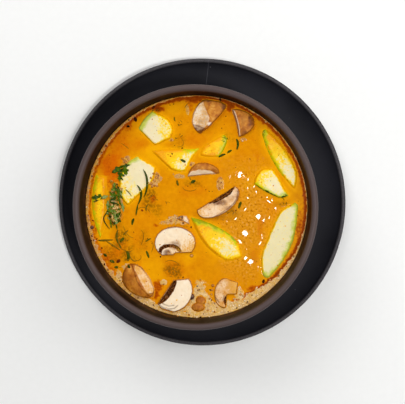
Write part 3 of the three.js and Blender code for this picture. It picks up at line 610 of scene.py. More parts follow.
def patches(spots, x, y, ragged, seed, edge=0.3):
    """The strongest of some soft-edged oval patches at each place, with ragged edges."""
    total = np.zeros_like(x)
    warp = ragged * (cloud(x, y, 5.2, seed) + 0.7 * cloud(x, y, 1.8, seed + 1))
    for across, along, reach_x, reach_y, strength in spots:
        out = np.hypot((x - across) / reach_x, (y - along) / reach_y) + warp
        total = np.maximum(total, strength * (1 - ease(1 - edge, 1 + edge, out)))
    return total


def welded(node):
    """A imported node's shape with its loose triangles joined."""
    body = bmesh.new()
    body.from_mesh(frame["nodes"][node].data)
    bmesh.ops.remove_doubles(body, verts=body.verts, dist=WELD_GAP * MM)
    return body


def waterline(node, level, step=0.4):
    """Points where a node's surface passes through a level, step millimetres apart."""
    body = welded(node)
    height = level * MM
    points = []
    for face in body.faces:
        ends = []
        for edge in face.edges:
            low, high = (v.co for v in edge.verts)
            if (low.z > height) != (high.z > height):
                ends.append(low.lerp(high, (height - low.z) / (high.z - low.z)))
        if len(ends) == 2:
            count = max(1, int((ends[1] - ends[0]).length / (step * MM)))
            points += [ends[0].lerp(ends[1], i / count) / MM for i in range(count)]
    body.free()
    return points


def distance_to(points, x, y):
    """How far each place is from the nearest of some points, in plan."""
    tree = kdtree.KDTree(len(points))
    for i, point in enumerate(points):
        tree.insert((point[0], point[1], 0), i)
    tree.balance()
    return np.array([tree.find((a, b, 0))[2] for a, b in zip(x, y)])


def along_line(corners, step=0.3):
    """Points step millimetres apart on a line through corners, in plan."""
    points = []
    for start, end in zip(corners, corners[1:]):
        count = max(1, int(math.dist(start, end) / step))
        points += [
            (start[0] + (end[0] - start[0]) * i / count, start[1] + (end[1] - start[1]) * i / count)
            for i in range(count)
        ]
    return points + [corners[-1]]


def fall_onto(tree, x, y):
    """The height at which a fall from above meets a shape over a place, or None beside it."""
    hit = tree.ray_cast(Vector((x * MM, y * MM, RAY_START * MM)), Vector((0, 0, -1)))[0]
    return None if hit is None else hit.z / MM


def covered_by(node, x, y, level):
    """Whether a node's top is over a level, for each place."""
    body = welded(node)
    tree = BVHTree.FromBMesh(body)
    body.free()
    low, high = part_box(node)
    covered = (x > low.x / MM) & (x < high.x / MM) & (y > low.y / MM) & (y < high.y / MM)
    for i in np.nonzero(covered)[0]:
        top = fall_onto(tree, x[i], y[i])
        covered[i] = top is not None and top > level
    return covered


def fine_copy(node, name, voxel, rounds):
    """A node's shape again in small even faces, with its edges a little softened."""
    body = welded(node)
    mesh = bpy.data.meshes.new(name)
    body.to_mesh(mesh)
    body.free()
    piece = in_scene(name, mesh)
    remesh = piece.modifiers.new("Fine faces", "REMESH")
    remesh.mode = "VOXEL"
    remesh.voxel_size = voxel * 1
    soften = piece.modifiers.new("Worn edges", "SMOOTH")
    soften.factor = 0.5
    soften.iterations = rounds
    finish_shape(piece)
    return piece


FLOATING = tuple(n for n in frame["nodes"] if n.startswith(("zucchini", "mushroom")))


# ------------------------------------------------------------------ materials


def as_value(value):
    """A hex colour as linear shares, and any other value as it is."""
    return linear(value) if str(value).startswith("#") else value


def add(tree, kind, inputs=(), stops=(), **settings):
    """Adds a node with its settings, its inputs, in order or by key, and a ramp's stops. A shader
    node goes by its short name. An input is a value, a hex colour, a socket or another node, whose
    first live output is linked."""
    node = tree.nodes.new(kind if "Node" in kind else "ShaderNode" + kind)
    for name, value in settings.items():
        setattr(node, name, value)
    for key, value in inputs.items() if isinstance(inputs, dict) else enumerate(inputs):
        if isinstance(value, bpy.types.Node):
            value = next(output for output in value.outputs if output.enabled)
        if isinstance(value, bpy.types.NodeSocket):
            tree.links.new(value, node.inputs[key])
        else:
            node.inputs[key].default_value = as_value(value)
    if stops:
        elements = node.color_ramp.elements
        while len(elements) < len(stops):
            elements.new(0.5)
        for element, (place, colour) in zip(elements, stops):
            element.position = place
            element.color = as_value(colour)
    return node


def new_material(name):
    material = bpy.data.materials.new(name)
    material.use_nodes = True
    tree = material.node_tree
    tree.nodes.clear()
    place = add(tree, "TexCoord").outputs["Object"]
    return material, tree, place


def close_material(material, inputs):
    """Ends a material with one principled shader."""
    tree = material.node_tree
    add(tree, "OutputMaterial", {"Surface": add(tree, "BsdfPrincipled", inputs)})
    return material


def layered(tree, colour, *layers):
    """A colour with others laid over it in turn, each given by its share and its colour."""
    for share, over in layers:
        colour = add(tree, "Mix", {0: share, 6: colour, 7: over}, data_type="RGBA")
    return colour


def ragged_share(tree, amount, noise, swing, start, end, most, spread=0.2):
    """A share from 0 to most as an amount goes from start to end, with a ragged edge: a noise whose
    values mostly lie within spread of a half moves the amount by up to swing either way."""
    push = add(tree, "MapRange", [noise, 0.5 - spread, 0.5 + spread, -swing, swing])
    total = add(tree, "Math", [amount, push], operation="ADD")
    return add(tree, "MapRange", [total, start, end, 0.0, most])


def mottled_share(tree, share, noise, low, high, least, most):
    """A share times a factor from least to most, as a noise goes from low to high."""
    factor = add(tree, "MapRange", [noise, low, high, least, most])
    return add(tree, "Math", [share, factor], operation="MULTIPLY")


def stoneware_material(dish):
    """Matte black stoneware, pressed and fired unglazed: a dry, dark body with fine grit, a few
    pale specks and a hairline scratch, rubbed greyer along the lip."""
    material, tree, place = new_material("matte_black_stoneware")
    axes = add(tree, "SeparateXYZ", [place])
    grit = add(tree, "TexNoise", {"Vector": place, "Scale": 1 / (0.9 * MM), "Detail": 3.0})
    clouds = add(tree, "TexNoise", {"Vector": place, "Scale": 1 / (26 * MM), "Detail": 4.0})
    lip_share = add(tree, "MapRange", [axes.outputs[2], (PLATE_TOP - 1.1) * MM, PLATE_TOP * MM])
    broken = add(tree, "Math", [lip_share, grit], operation="MULTIPLY")
    dust = add(tree, "TexVoronoi", {"Vector": place, "Scale": 1 / (9 * MM)})
    speck = add(tree, "MapRange", [dust, 0.045, 0.03, 0.0, 0.6])
    bend = add(tree, "Math", [axes.outputs[1], 0.14], operation="MULTIPLY")
    shift = add(tree, "Math", [axes.outputs[0], bend], operation="SUBTRACT")
    off = add(tree, "Math", [shift, 8.2 * MM], operation="ADD")
    reach = add(tree, "Math", [off], operation="ABSOLUTE")
    line = add(tree, "MapRange", [reach, 0.32 * MM, 0.1 * MM, 0.0, 0.4])
    upper = add(tree, "Math", [axes.outputs[1], 78 * MM], operation="GREATER_THAN")
    scratch = add(tree, "Math", [line, upper], operation="MULTIPLY")
    final = layered(
        tree, "#0F0F13",
        (clouds, dish.plate_colour), (broken, dish.plate_worn), (speck, "#77747A"), (scratch, "#5C5A60"),
    )
    rough = add(tree, "MapRange", [clouds, 0.3, 0.7, 0.5, 0.62])
    bump = add(tree, "Bump", {"Height": grit, "Strength": 0.12, "Distance": 0.15 * MM})
    return close_material(material, {"Base Color": final, "Roughness": rough, "Normal": bump, "IOR": 1.26})


def glaze_material(dish):
    """Satin brown-black glaze, dipped and fired: smooth and softly shiny, thin and grey over the rim, with a
    line of dried soup on the wall above the level that grows from none at +y to full at -y, where it is also
    painted light on the inner wall."""
    material, tree, place = new_material("satin_brown_black_glaze")
    axes = add(tree, "SeparateXYZ", [place])
    grain, drift, patchy = (
        add(tree, "TexNoise", {"Vector": place, "Scale": 1 / (size * MM), "Detail": detail})
        for size, detail in ((1.4, 4), (18, 3), (4, 4))
    )
    thin = add(tree, "MapRange", [axes.outputs[2], (RIM_TOP - 3.4) * MM, (RIM_TOP - 0.8) * MM])
    radius = add(
        tree, "VectorMath",
        [add(tree, "CombineXYZ", [axes.outputs[0], axes.outputs[1]])],
        operation="LENGTH",
    )
    inside = add(tree, "MapRange", [radius, (BOWL_RADIUS - 2.6) * MM, (BOWL_RADIUS - 3.6) * MM])
    ragged = add(tree, "MapRange", [drift, 0.3, 0.7, (SOUP_LEVEL + 1.2) * MM, (SOUP_LEVEL + 5.5) * MM])
    under = add(tree, "Math", [ragged, axes.outputs[2]], operation="SUBTRACT")
    wet = add(tree, "MapRange", [under, -0.6 * MM, 1.8 * MM, 0.0, 0.95])
    # Painted light: the line of dried soup grows from none at +y to full at -y, for the lit inner wall on
    # that side.
    painted_light_share = add(tree, "MapRange", [axes.outputs[1], 60 * MM, -60 * MM])
    blotched = mottled_share(tree, painted_light_share, patchy, 0.38, 0.62, 0.35, 1.15)
    soup_line_and_light = add(tree, "Math", [wet, blotched], operation="MULTIPLY")
    above = add(tree, "MapRange", [axes.outputs[2], (SOUP_LEVEL - 3) * MM, (SOUP_LEVEL - 1) * MM])
    soup_line_and_light_above = add(tree, "Math", [soup_line_and_light, above], operation="MULTIPLY")
    soup_line_and_light_mask = add(tree, "Math", [soup_line_and_light_above, inside], operation="MULTIPLY")
    final = layered(
        tree, "#0C0604",
        (drift, dish.glaze_colour), (thin, dish.rim_colour), (soup_line_and_light_mask, dish.soup_line_and_light_colour),
    )
    rough = add(tree, "MapRange", [grain, 0.3, 0.7, 0.4, 0.48])
    bump = add(tree, "Bump", {"Height": grain, "Strength": 0.08, "Distance": 0.1 * MM})
    return close_material(material, {"Base Color": final, "Roughness": rough, "Normal": bump, "IOR": 1.22})


def broth_material(soup):
    """Creamy tom yum broth: an opaque orange cream with red oil on it, the oil also painted shadow by the
    top of the wall and round the caps, wet and mirror-smooth where it is still, grained with a pale painted
    sheen where it is lively, and foamed with milk froth by the wall."""
    material, tree, place = new_material("creamy_chilli_broth")
    shares = {
        name: add(tree, "Attribute", attribute_name=name).outputs["Fac"]
        for name in ("warm", "gold", "lively", "haze", "murk", "oil", "froth", "pale")
    }
    drift, grain, fine = (
        add(tree, "TexNoise", {"Vector": place, "Scale": 1 / (size * MM), "Detail": detail})
        for size, detail in ((11, 5), (1.5, 3), (0.8, 2))
    )
    drifting = add(tree, "MapRange", [drift, 0.35, 0.65, 0.0, 0.55])
    mottle = add(
        tree, "TexNoise",
        {"Vector": place, "Scale": 1 / (2.6 * MM), "Detail": 4.0, "Roughness": 0.65},
    )
    mottling = add(tree, "MapRange", [mottle, 0.36, 0.66, 0.0, 0.5])
    warm_share = mottled_share(tree, shares["warm"], grain, 0.3, 0.7, 0.7, 1.15)
    # The lively side is grained pale and brown, about a millimetre apart; the pale grain is a painted sheen
    # for the lamp's broken reflection.
    grain_and_sheen_share = add(tree, "Math", [shares["haze"], 0.9], operation="MULTIPLY")
    grained = add(
        tree, "ValToRGB", [grain],
        stops=[(0.33, "#9C5A06"), (0.42, "#CE8412"), (0.58, "#DC921A"), (0.68, soup.haze)],
    )
    murk_share = mottled_share(tree, shares["murk"], grain, 0.38, 0.6, 0.2, 1.0)
    # Red oil, also painted shadow by the top of the wall and round the caps.
    oil_edge = add(tree, "MapRange", [grain, 0.25, 0.75, -0.22, 0.22])
    oil_sum = add(tree, "Math", [shares["oil"], oil_edge], operation="ADD")
    oil_share = add(tree, "MapRange", [oil_sum, 0.08, 0.6, 0.0, 0.95])
    oil_colour = add(
        tree, "ValToRGB", [oil_sum],
        stops=[(0.2, "#CC6606"), (0.55, "#AE4A04"), (0.95, soup.oil)],
    )
    # Froth: cells of packed bubbles with brown seams, about 0.9 mm across.
    cells = add(tree, "TexVoronoi", {"Vector": place, "Scale": 1 / (0.95 * MM)})
    seams = add(tree, "TexVoronoi", {"Vector": place, "Scale": 1 / (0.95 * MM)}, feature="DISTANCE_TO_EDGE")
    yellowing = add(tree, "MapRange", [mottle, 0.4, 0.6, 0.0, 0.8])
    froth_cells = add(tree, "MapRange", [cells, 0.15, 0.75, 0.0, 0.42])
    froth = layered(
        tree, soup.froth_tan,
        (shares["pale"], soup.froth_cream), (yellowing, "#E4AC2A"), (froth_cells, "#946028"),
    )
    froth_share = ragged_share(
        tree, shares["froth"], grain, swing=0.28, start=0.35, end=0.62, most=0.95, spread=0.3
    )
    final = layered(
        tree, soup.broth,
        (drifting, "#CC7A02"), (mottling, "#E89C06"), (warm_share, soup.warm), (shares["gold"], soup.gold),
        (grain_and_sheen_share, grained), (murk_share, "#5C4204"), (oil_share, oil_colour), (froth_share, froth),
    )
    rough_lively = add(tree, "MapRange", [shares["lively"], 0.0, 1.0, 0.12, 0.08])
    rough = add(tree, "Mix", {0: froth_share, 2: rough_lively, 3: 0.36})
    bubbles = add(tree, "Math", [seams, froth_share], operation="MULTIPLY")
    bubble_bump = add(tree, "Bump", {"Height": bubbles, "Strength": 0.6, "Distance": 0.35 * MM})
    chop = add(tree, "Math", [fine, shares["lively"]], operation="MULTIPLY")
    bump = add(
        tree, "Bump",
        {"Height": chop, "Strength": 0.3, "Distance": 0.06 * MM, "Normal": bubble_bump},
    )
    return close_material(material, {"Base Color": final, "Roughness": rough, "Normal": bump, "IOR": 1.34})


def sideways(tree, level, upright):
    """How far the surface faces sideways, where the soup that clings to a piece dulls it."""
    shape = add(tree, "NewGeometry")
    normal = add(tree, "SeparateXYZ", [shape.outputs["True Normal"]])
    return add(tree, "MapRange", [normal.outputs[2], level, upright, 0.0, 0.85])


def zucchini_material(food):
    """Boiled zucchini: moist pale flesh with faint fibres, green next to the skin, glossy dark
    green skin, and a film of soup that gathers yellow in dots and along the shore."""
    material, tree, place = new_material("boiled_zucchini")
    shares = {
        name: add(tree, "Attribute", attribute_name=name).outputs["Fac"]
        for name in ("skin_mm", "film", "dark", "dull", "veil")
    }
    fibres, dots, large = (
        add(tree, "TexNoise", {"Vector": place, "Scale": 1 / (size * MM), "Detail": detail})
        for size, detail in ((5, 5), (1.3, 2), (3.4, 3))
    )
    film_noise = add(tree, "MapRange", [dots, 0.3, 0.7, -0.16, 0.16])
    film_slow = add(tree, "MapRange", [large, 0.3, 0.7, -0.1, 0.1])
    film_sum = add(tree, "Math", [shares["film"], film_noise], operation="ADD")
    film_total = add(tree, "Math", [film_sum, film_slow], operation="ADD")
    film_colour = add(
        tree, "ValToRGB", [film_total],
        stops=[(0.12, "#F2E080"), (0.42, food.film), (0.78, "#F3B804"), (1.0, "#EA9C02")],
    )
    film_share = add(tree, "MapRange", [film_total, 0.1, 0.4])
    wander = add(tree, "MapRange", [large, 0.3, 0.7, -1.2, 1.2])
    depth = add(tree, "Math", [shares["skin_mm"], wander], operation="ADD")
    green = add(tree, "MapRange", [depth, 3.6, 1.3, 0.0, 0.85])
    edge = add(tree, "MapRange", [depth, 1.2, 0.5])
    skin_share = add(tree, "Math", [edge, shares["dark"]], operation="MULTIPLY")
    veil_share = ragged_share(tree, shares["veil"], dots, swing=0.3, start=0.3, end=0.95, most=0.95)
    final = layered(
        tree, food.flesh,
        (fibres, "#E2D2A2"), (shares["dull"], "#DCD09C"), (film_share, film_colour), (green, food.lime),
        (skin_share, food.skin), (veil_share, "#E09604"),
    )
    wet = add(tree, "MapRange", [film_share, 0.0, 1.0, 0.42, 0.34])
    rough = add(tree, "Mix", {0: veil_share, 2: wet, 3: 0.6})
    steep = sideways(tree, 0.985, 0.93)
    drier = add(tree, "Math", [veil_share, steep], operation="ADD")
    gloss = add(tree, "MapRange", [drier, 0.0, 0.9, 0.5, 0.04])
    bump = add(tree, "Bump", {"Height": dots, "Strength": 0.25, "Distance": 0.12 * MM})
    return close_material(material, {
        "Base Color": final, "Roughness": rough, "Normal": bump,
        "IOR": 1.3, "Specular IOR Level": gloss,
        "Subsurface Weight": 0.15, "Subsurface Radius": (1.0, 0.6, 0.25), "Subsurface Scale": 1.2 * MM,
    })


def mushroom_material(food):
    """Cooked button mushroom: damp cream flesh with fine fibres, a thin brown line where the skin
    was cut, streaked brown skin on the caps and ribbed dark gills."""
    material, tree, place = new_material("cooked_button_mushroom")
    shares = {
        name: add(tree, "Attribute", attribute_name=name).outputs["Fac"]
        for name in (
            "flesh", "gill", "fan_turn", "fan_reach", "rim_mm", "toast", "film", "veil", "crease", "brown",
            "bright",
        )
    }
    fibres = add(tree, "TexNoise", {"Vector": place, "Scale": 1 / (3.2 * MM), "Detail": 6.0})
    streaks = add(
        tree, "TexNoise",
        {"Vector": place, "Scale": 1 / (4.4 * MM), "Detail": 5.0, "Distortion": 0.8},
    )
    dots = add(tree, "TexNoise", {"Vector": place, "Scale": 1 / (1.1 * MM), "Detail": 2.0})
    toast_share = mottled_share(tree, shares["toast"], streaks, 0.35, 0.65, 0.6, 1.2)
    dotting = add(tree, "MapRange", [dots, 0.54, 0.64, 0.0, 0.75])
    dotted_share = add(tree, "Math", [dotting, shares["toast"]], operation="MULTIPLY")
    cut = layered(
        tree, food.mushroom_flesh,
        (fibres, "#EED0A4"), (toast_share, food.mushroom_toast), (dotted_share, "#C27A28"),
    )
    cap = add(
        tree, "ValToRGB", [streaks],
        stops=[(0.3, "#8E480C"), (0.45, "#AC6212"), (0.58, food.mushroom_skin), (0.76, "#DA9E46")],
    )
    rim_share = ragged_share(tree, shares["rim_mm"], fibres, swing=0.3, start=0.5, end=0.15, most=0.4)
    cut_rim = add(tree, "Math", [rim_share, shares["flesh"]], operation="MULTIPLY")
    # Brown spots: stem stubs and pits, and painted shade in hollows and on shaded edges.
    brown_and_shade_share = mottled_share(tree, shares["brown"], fibres, 0.35, 0.65, 0.5, 1.3)
    brown_and_shade_colour = add(
        tree, "ValToRGB", [shares["brown"]],
        stops=[(0.3, "#A8661E"), (0.7, "#6A340A"), (1.0, "#3E1C06")],
    )
    # Gill plates fan out from the stem, so their noise is stretched along the fan.
    fan = add(tree, "CombineXYZ", [shares["fan_turn"], shares["fan_reach"]])
    plates = add(tree, "TexNoise", {"Vector": fan, "Scale": 1.0, "Detail": 2.0})
    gill_colour = add(
        tree, "ValToRGB", [plates],
        stops=[(0.38, "#160600"), (0.5, "#3C1A08"), (0.66, "#8A5424")],
    )
    gill_edge = add(tree, "MapRange", [plates, 0.3, 0.7, 0.3, -0.45])
    gill_sum = add(tree, "Math", [shares["gill"], gill_edge], operation="ADD")
    gill_share = add(tree, "MapRange", [gill_sum, 0.3, 0.6])
    film_share = ragged_share(
        tree, shares["film"], dots, swing=0.25, start=0.25, end=0.95, most=0.9, spread=0.15
    )
    steep = sideways(tree, 0.85, 0.45)
    veil_share = ragged_share(
        tree, shares["veil"], dots, swing=0.25, start=0.3, end=0.9, most=0.95, spread=0.15
    )
    final = layered(
        tree, cap,
        (shares["flesh"], cut), (cut_rim, "#7A3E12"), (brown_and_shade_share, brown_and_shade_colour),
        # Pale cuts with painted highlights, the gills, and dark lines of cut skin with painted shade along
        # the folds.
        (shares["bright"], "#F4E4CC"), (gill_share, gill_colour), (shares["crease"], "#5A2400"),
        (film_share, "#DFA030"), (steep, "#8E5016"), (veil_share, "#DC9008"),
    )
    shine = add(tree, "MapRange", [shares["flesh"], 0.0, 1.0, 0.5, 0.45])
    rough = add(tree, "Mix", {0: steep, 2: shine, 3: 0.95})
    dry = add(tree, "Math", [veil_share, gill_share], operation="ADD")
    drier = add(tree, "Math", [dry, shares["crease"]], operation="ADD")
    driest = add(tree, "Math", [drier, steep], operation="ADD")
    gloss = add(tree, "MapRange", [driest, 0.0, 0.9, 0.5, 0.04])
    bump = add(tree, "Bump", {"Height": fibres, "Strength": 0.3, "Distance": 0.2 * MM})
    return close_material(material, {
        "Base Color": final, "Roughness": rough, "Normal": bump,
        "IOR": 1.28, "Specular IOR Level": gloss,
        "Subsurface Weight": 0.03, "Subsurface Radius": (1.0, 0.7, 0.4), "Subsurface Scale": 1.0 * MM,
    })


def blotched_tint(tree, blotch, swing, stops):
    """The colour that a piece's stored tint has on a ramp, moved by up to swing by blotches."""
    tint = add(tree, "Attribute", attribute_name="tint").outputs["Fac"]
    push = add(tree, "MapRange", [blotch, 0.3, 0.7, -swing, swing])
    return add(tree, "ValToRGB", [add(tree, "Math", [tint, push], operation="ADD")], stops)


def leaf_material(herb):
    """Wet coriander leaf: dark green and waxy, each leaf its own tone from dark to pale, the palest painted
    with the grey sheen of wet leaf.
    """
    material, tree, place = new_material("wet_coriander_leaf")
    blotch = add(tree, "TexNoise", {"Vector": place, "Scale": 1 / (1.9 * MM), "Detail": 3.0})
    stops = ((0.1, "#1A2400"), (0.4, herb.leaf), (0.66, "#5C7208"), (1.0, herb.leaf_pale_and_sheen))
    colour = blotched_tint(tree, blotch, 0.22, stops)
    bump = add(tree, "Bump", {"Height": blotch, "Strength": 0.4, "Distance": 0.2 * MM})
    return close_material(material, {"Base Color": colour, "Roughness": 0.3, "Normal": bump, "IOR": 1.17})


def core_material():
    """Inside of the herb heap: grey-cream froth caught between wet leaf and stem."""
    material, tree, place = new_material("froth_among_chopped_leaf")
    bits = add(
        tree, "TexNoise",
        {"Vector": place, "Scale": 1 / (1.7 * MM), "Detail": 3.0, "Distortion": 1.5},
    )
    colour = add(
        tree, "ValToRGB", [bits],
        stops=[(0.34, "#3A3A04"), (0.43, "#846414"), (0.52, "#C49034"), (0.66, "#DCC48E")],
    )
    shore = add(tree, "Attribute", attribute_name="veil").outputs["Fac"]
    sunk_share = ragged_share(tree, shore, bits, swing=0.35, start=0.3, end=0.7, most=1.0, spread=0.15)
    final = add(tree, "Mix", {0: sunk_share, 6: colour, 7: "#D8880A"}, data_type="RGBA")
    bump = add(tree, "Bump", {"Height": bits, "Strength": 0.6, "Distance": 0.4 * MM})
    return close_material(material, {"Base Color": final, "Roughness": 0.35, "Normal": bump, "IOR": 1.3})


def wisp_material():
    """Threads of leaf and stem just under the soup's skin: olive, dulled by the soup over them."""
    material, tree, place = new_material("sunken_leaf_threads")
    blotch = add(tree, "TexNoise", {"Vector": place, "Scale": 1 / (1.6 * MM), "Detail": 2.0})
    stops = ((0.0, "#2A3600"), (0.3, "#4A5000"), (0.55, "#6A5204"), (1.0, "#A87008"))
    colour = blotched_tint(tree, blotch, 0.2, stops)
    return close_material(material, {"Base Color": colour, "Roughness": 0.4, "IOR": 1.15})


def bubble_material():
    """Milk froth bubbles: thin wet domes, most of them cream or tan, a few dark and clear."""
    material, tree, _ = new_material("milk_froth_bubbles")
    tint = add(tree, "Attribute", attribute_name="tint").outputs["Fac"]
    pale = add(tree, "Attribute", attribute_name="pale").outputs["Fac"]
    tan = add(
        tree, "ValToRGB", [tint],
        stops=[(0.0, "#3E1A04"), (0.16, "#7E4210"), (0.4, "#B87428"), (0.85, "#C98838"), (1.0, "#E8C494")],
    )
    cream = add(
        tree, "ValToRGB", [tint],
        stops=[(0.0, "#5A3414"), (0.12, "#A8783E"), (0.3, "#D8B078"), (1.0, "#EBD2A6")],
    )
    inside = add(tree, "Mix", {0: pale, 6: tan, 7: cream}, data_type="RGBA")
    # Painted shade: each bubble is darker round its sides than on its top, for the dark ring it shows.
    painted_dark_rim = add(tree, "Mix", {0: pale, 6: "#6E360C", 7: "#94662E"}, data_type="RGBA")
    facing = add(tree, "TexCoord").outputs["Normal"]
    level = add(tree, "SeparateXYZ", [facing]).outputs[2]
    top = add(tree, "MapRange", [level, 0.45, 0.85])
    colour = add(tree, "Mix", {0: top, 6: painted_dark_rim, 7: inside}, data_type="RGBA")
    return close_material(material, {"Base Color": colour, "Roughness": 0.16, "IOR": 1.34})


def clear_bubble_material():
    """Large clear bubbles: a dark wet dome that shows the brown below it."""
    material, tree, place = new_material("clear_soup_bubble")
    swirl = add(tree, "TexNoise", {"Vector": place, "Scale": 1 / (1.2 * MM), "Detail": 2.0})
    colour = add(tree, "ValToRGB", [swirl], stops=[(0.3, "#32180E"), (0.55, "#5E3A2A"), (0.75, "#A0765A")])
    return close_material(material, {"Base Color": colour, "Roughness": 0.07, "IOR": 1.36})


def speck_material():
    """Ground pepper, chilli skin and seeds: small dry-edged bits, from red brown to near black."""
    material, tree, place = new_material("pepper_and_chilli_specks")
    tint = add(tree, "Attribute", attribute_name="tint").outputs["Fac"]
    colour = add(
        tree, "ValToRGB", [tint],
        stops=[(0.0, "#1A0E06"), (0.3, "#4C2008"), (0.6, "#8A2C04"), (0.85, "#B04A06"), (1.0, "#50580C")],
    )
    grit = add(tree, "TexNoise", {"Vector": place, "Scale": 1 / (0.5 * MM)})
    bump = add(tree, "Bump", {"Height": grit, "Strength": 0.5, "Distance": 0.1 * MM})
    return close_material(material, {"Base Color": colour, "Roughness": 0.8, "Normal": bump, "IOR": 1.12})


def oil_material():
    """Drops of chilli oil on the cut faces: thin amber lenses, very glossy."""
    material, tree, _ = new_material("amber_chilli_oil_drops")
    tint = add(tree, "Attribute", attribute_name="tint").outputs["Fac"]
    colour = add(tree, "ValToRGB", [tint], stops=[(0.0, "#B04C04"), (0.5, "#E08E0C"), (1.0, "#F6BE30")])
    return close_material(material, {"Base Color": colour, "Roughness": 0.1, "IOR": 1.46})


def floor_material(stage):
    """Plain pale paper sweep, with no pattern that shows."""
    material, tree, place = new_material("pale_paper_sweep")
    tooth = add(tree, "TexNoise", {"Vector": place, "Scale": 1 / (4 * MM)})
    colour = add(tree, "Mix", {0: tooth, 6: stage.floor_colour, 7: "#F0F0EE"}, data_type="RGBA")
    return close_material(material, {"Base Color": colour, "Roughness": 0.8})


# ------------------------------------------------------------------ the dishes

RIM_LEVEL = RIM_TOP - BOWL_WALL / 2
OUTER_WALL = ((41.0, 8.9), (58.0, 8.9), (75.2, 31.0), (BOWL_RADIUS, RIM_LEVEL))
INNER_WALL = ((0.0, BOWL_FLOOR), (59.2, BOWL_FLOOR), (69.2, 29.0), (BOWL_RADIUS - BOWL_WALL, RIM_LEVEL))
LIP_LEVEL = PLATE_TOP - PLATE_LIP / 2


class SOUP_OT_underplate(bpy.types.Operator):
    """Turn the underplate with its foot ring, sloped shoulder and round lip"""

    bl_idname = "soup.underplate"
    bl_label = "Underplate"

    def execute(self, context):
        dish = context.scene.soup_dish
        inner, outer = PLATE_FOOT
        foot = (outer + PLATE_FOOT_SLOPE, PLATE_RECESS)
        flare = foot, (PLATE_BEND, PLATE_RECESS), (PLATE_RADIUS, LIP_LEVEL)
        well = (PLATE_RADIUS - PLATE_LIP, LIP_LEVEL), (PLATE_BEND, PLATE_FLOOR), (PLATE_WELL, PLATE_FLOOR)
        profile = [
            (0, PLATE_RECESS), (inner - PLATE_FOOT_SLOPE, PLATE_RECESS), (inner, 0), (outer, 0),
            *bent(flare, steps=14),
            *lip(PLATE_RADIUS, PLATE_TOP, PLATE_LIP, steps=10),
            *bent(well, steps=16),
            (0, PLATE_FLOOR),
        ]
        plate = turned("stone_underplate", profile, dish.segments)
        plate.data.set_sharp_from_angle(angle=SHARP_ANGLE)
        settle(plate, stoneware_material(dish), "plate_stoneware", "underplate")
        return {"FINISHED"}


class SOUP_OT_bowl(bpy.types.Operator):
    """Turn the bowl with its foot, curved walls and round rim"""

    bl_idname = "soup.bowl"
    bl_label = "Bowl"

    def execute(self, context):
        dish = context.scene.soup_dish
        inner_foot = BOWL_FOOT - BOWL_FOOT_WIDTH
        under = BOWL_STANDING + BOWL_FOOT_RECESS
        profile = [
            (0, under), (inner_foot - BOWL_FOOT_SLOPE, under), (inner_foot, BOWL_STANDING),
            (BOWL_FOOT, BOWL_STANDING),
            *bezier(OUTER_WALL, steps=30),
            *lip(BOWL_RADIUS, RIM_TOP, BOWL_WALL, steps=12),
            *bezier(INNER_WALL, steps=40)[::-1],
        ]
        bowl = turned("glazed_bowl", profile, dish.segments)
        bowl.data.set_sharp_from_angle(angle=SHARP_ANGLE)
        settle(bowl, glaze_material(dish), "bowl_stoneware", "bowl")
        return {"FINISHED"}


# ------------------------------------------------------------------ the soup

LAMP_PLACE = (400.0, -150.0, 1380.0)
# How deep the surface dips under a floating piece.
SINK_DEPTH = 6.6


def disc_grid(cells):
    """Even points over a disc of radius 1, in rows of cells + 1, by bending a square grid."""
    line = np.linspace(-1, 1, cells + 1)
    a, b = np.meshgrid(line, line, indexing="ij")
    wide = np.abs(a) > np.abs(b)
    reach = np.where(wide, a, b)
    other = np.where(wide, b, a)
    share = np.divide(other, reach, out=np.zeros_like(a), where=reach != 0)
    turn = math.pi / 4 * share
    turn = np.where(wide, turn, math.pi / 2 - turn)
    return (reach * np.cos(turn)).ravel(), (reach * np.sin(turn)).ravel()


def grid_edge(cells):
    """The numbers of the grid's outer points, in order round the disc."""
    row = cells + 1
    near = [i * row for i in range(cells)]
    right = [cells * row + j for j in range(cells)]
    far = [i * row + cells for i in range(cells, 0, -1)]
    return near + right + far + list(range(cells, 0, -1))


def by_angle(x, y, values):
    """Values given along the wall, smoothly in between, for each place's angle."""
    return np.interp(np.degrees(np.arctan2(y, x)) % 360, WALL_ANGLES, values, period=360)


def glint_slopes(x, y):
    """The slopes along x and y that would send the lamp's light into the camera."""
    places = np.stack([x, y, np.full_like(x, SOUP_LEVEL)], 1)
    to_camera = np.array(CAMERA_PLACE) - places
    to_lamp = np.array(LAMP_PLACE) - places
    half = to_camera / np.linalg.norm(to_camera, axis=1)[:, None]
    half += to_lamp / np.linalg.norm(to_lamp, axis=1)[:, None]
    return -half[:, 0] / half[:, 2], -half[:, 1] / half[:, 2]


def shore_of(x, y, nodes):
    """How far each place is outside the outlines of some nodes; inside them it is negative."""
    away = distance_to([point for node in nodes for point in waterline(node, SOUP_LEVEL)], x, y)
    inside = np.any([covered_by(node, x, y, SOUP_LEVEL - 0.5) for node in nodes], axis=0)
    return np.where(inside, -away, away)


def raise_glints(height, x, y, seed):
    """Tilts facets of the surface so that they carry the lamp's glints, and gives how still the
    soup lies there."""
    still = np.zeros_like(x)
    slope_x, slope_y = glint_slopes(x, y)
    for across, along, reach, girth, heading in GLINTS:
        off_x, off_y = x - across, y - along
        way = math.cos(math.radians(heading)), math.sin(math.radians(heading))
        out = np.hypot((off_x * way[0] + off_y * way[1]) / reach, (off_y * way[0] - off_x * way[1]) / girth)
        out += 0.25 * cloud(x, y, 1.5, seed + 16)
        swell = np.exp(-((np.clip(out, 0, None) / GLINT_EDGE) ** 8))
        height += (slope_x * off_x + slope_y * off_y) * swell
        still = np.maximum(still, swell)
    return still


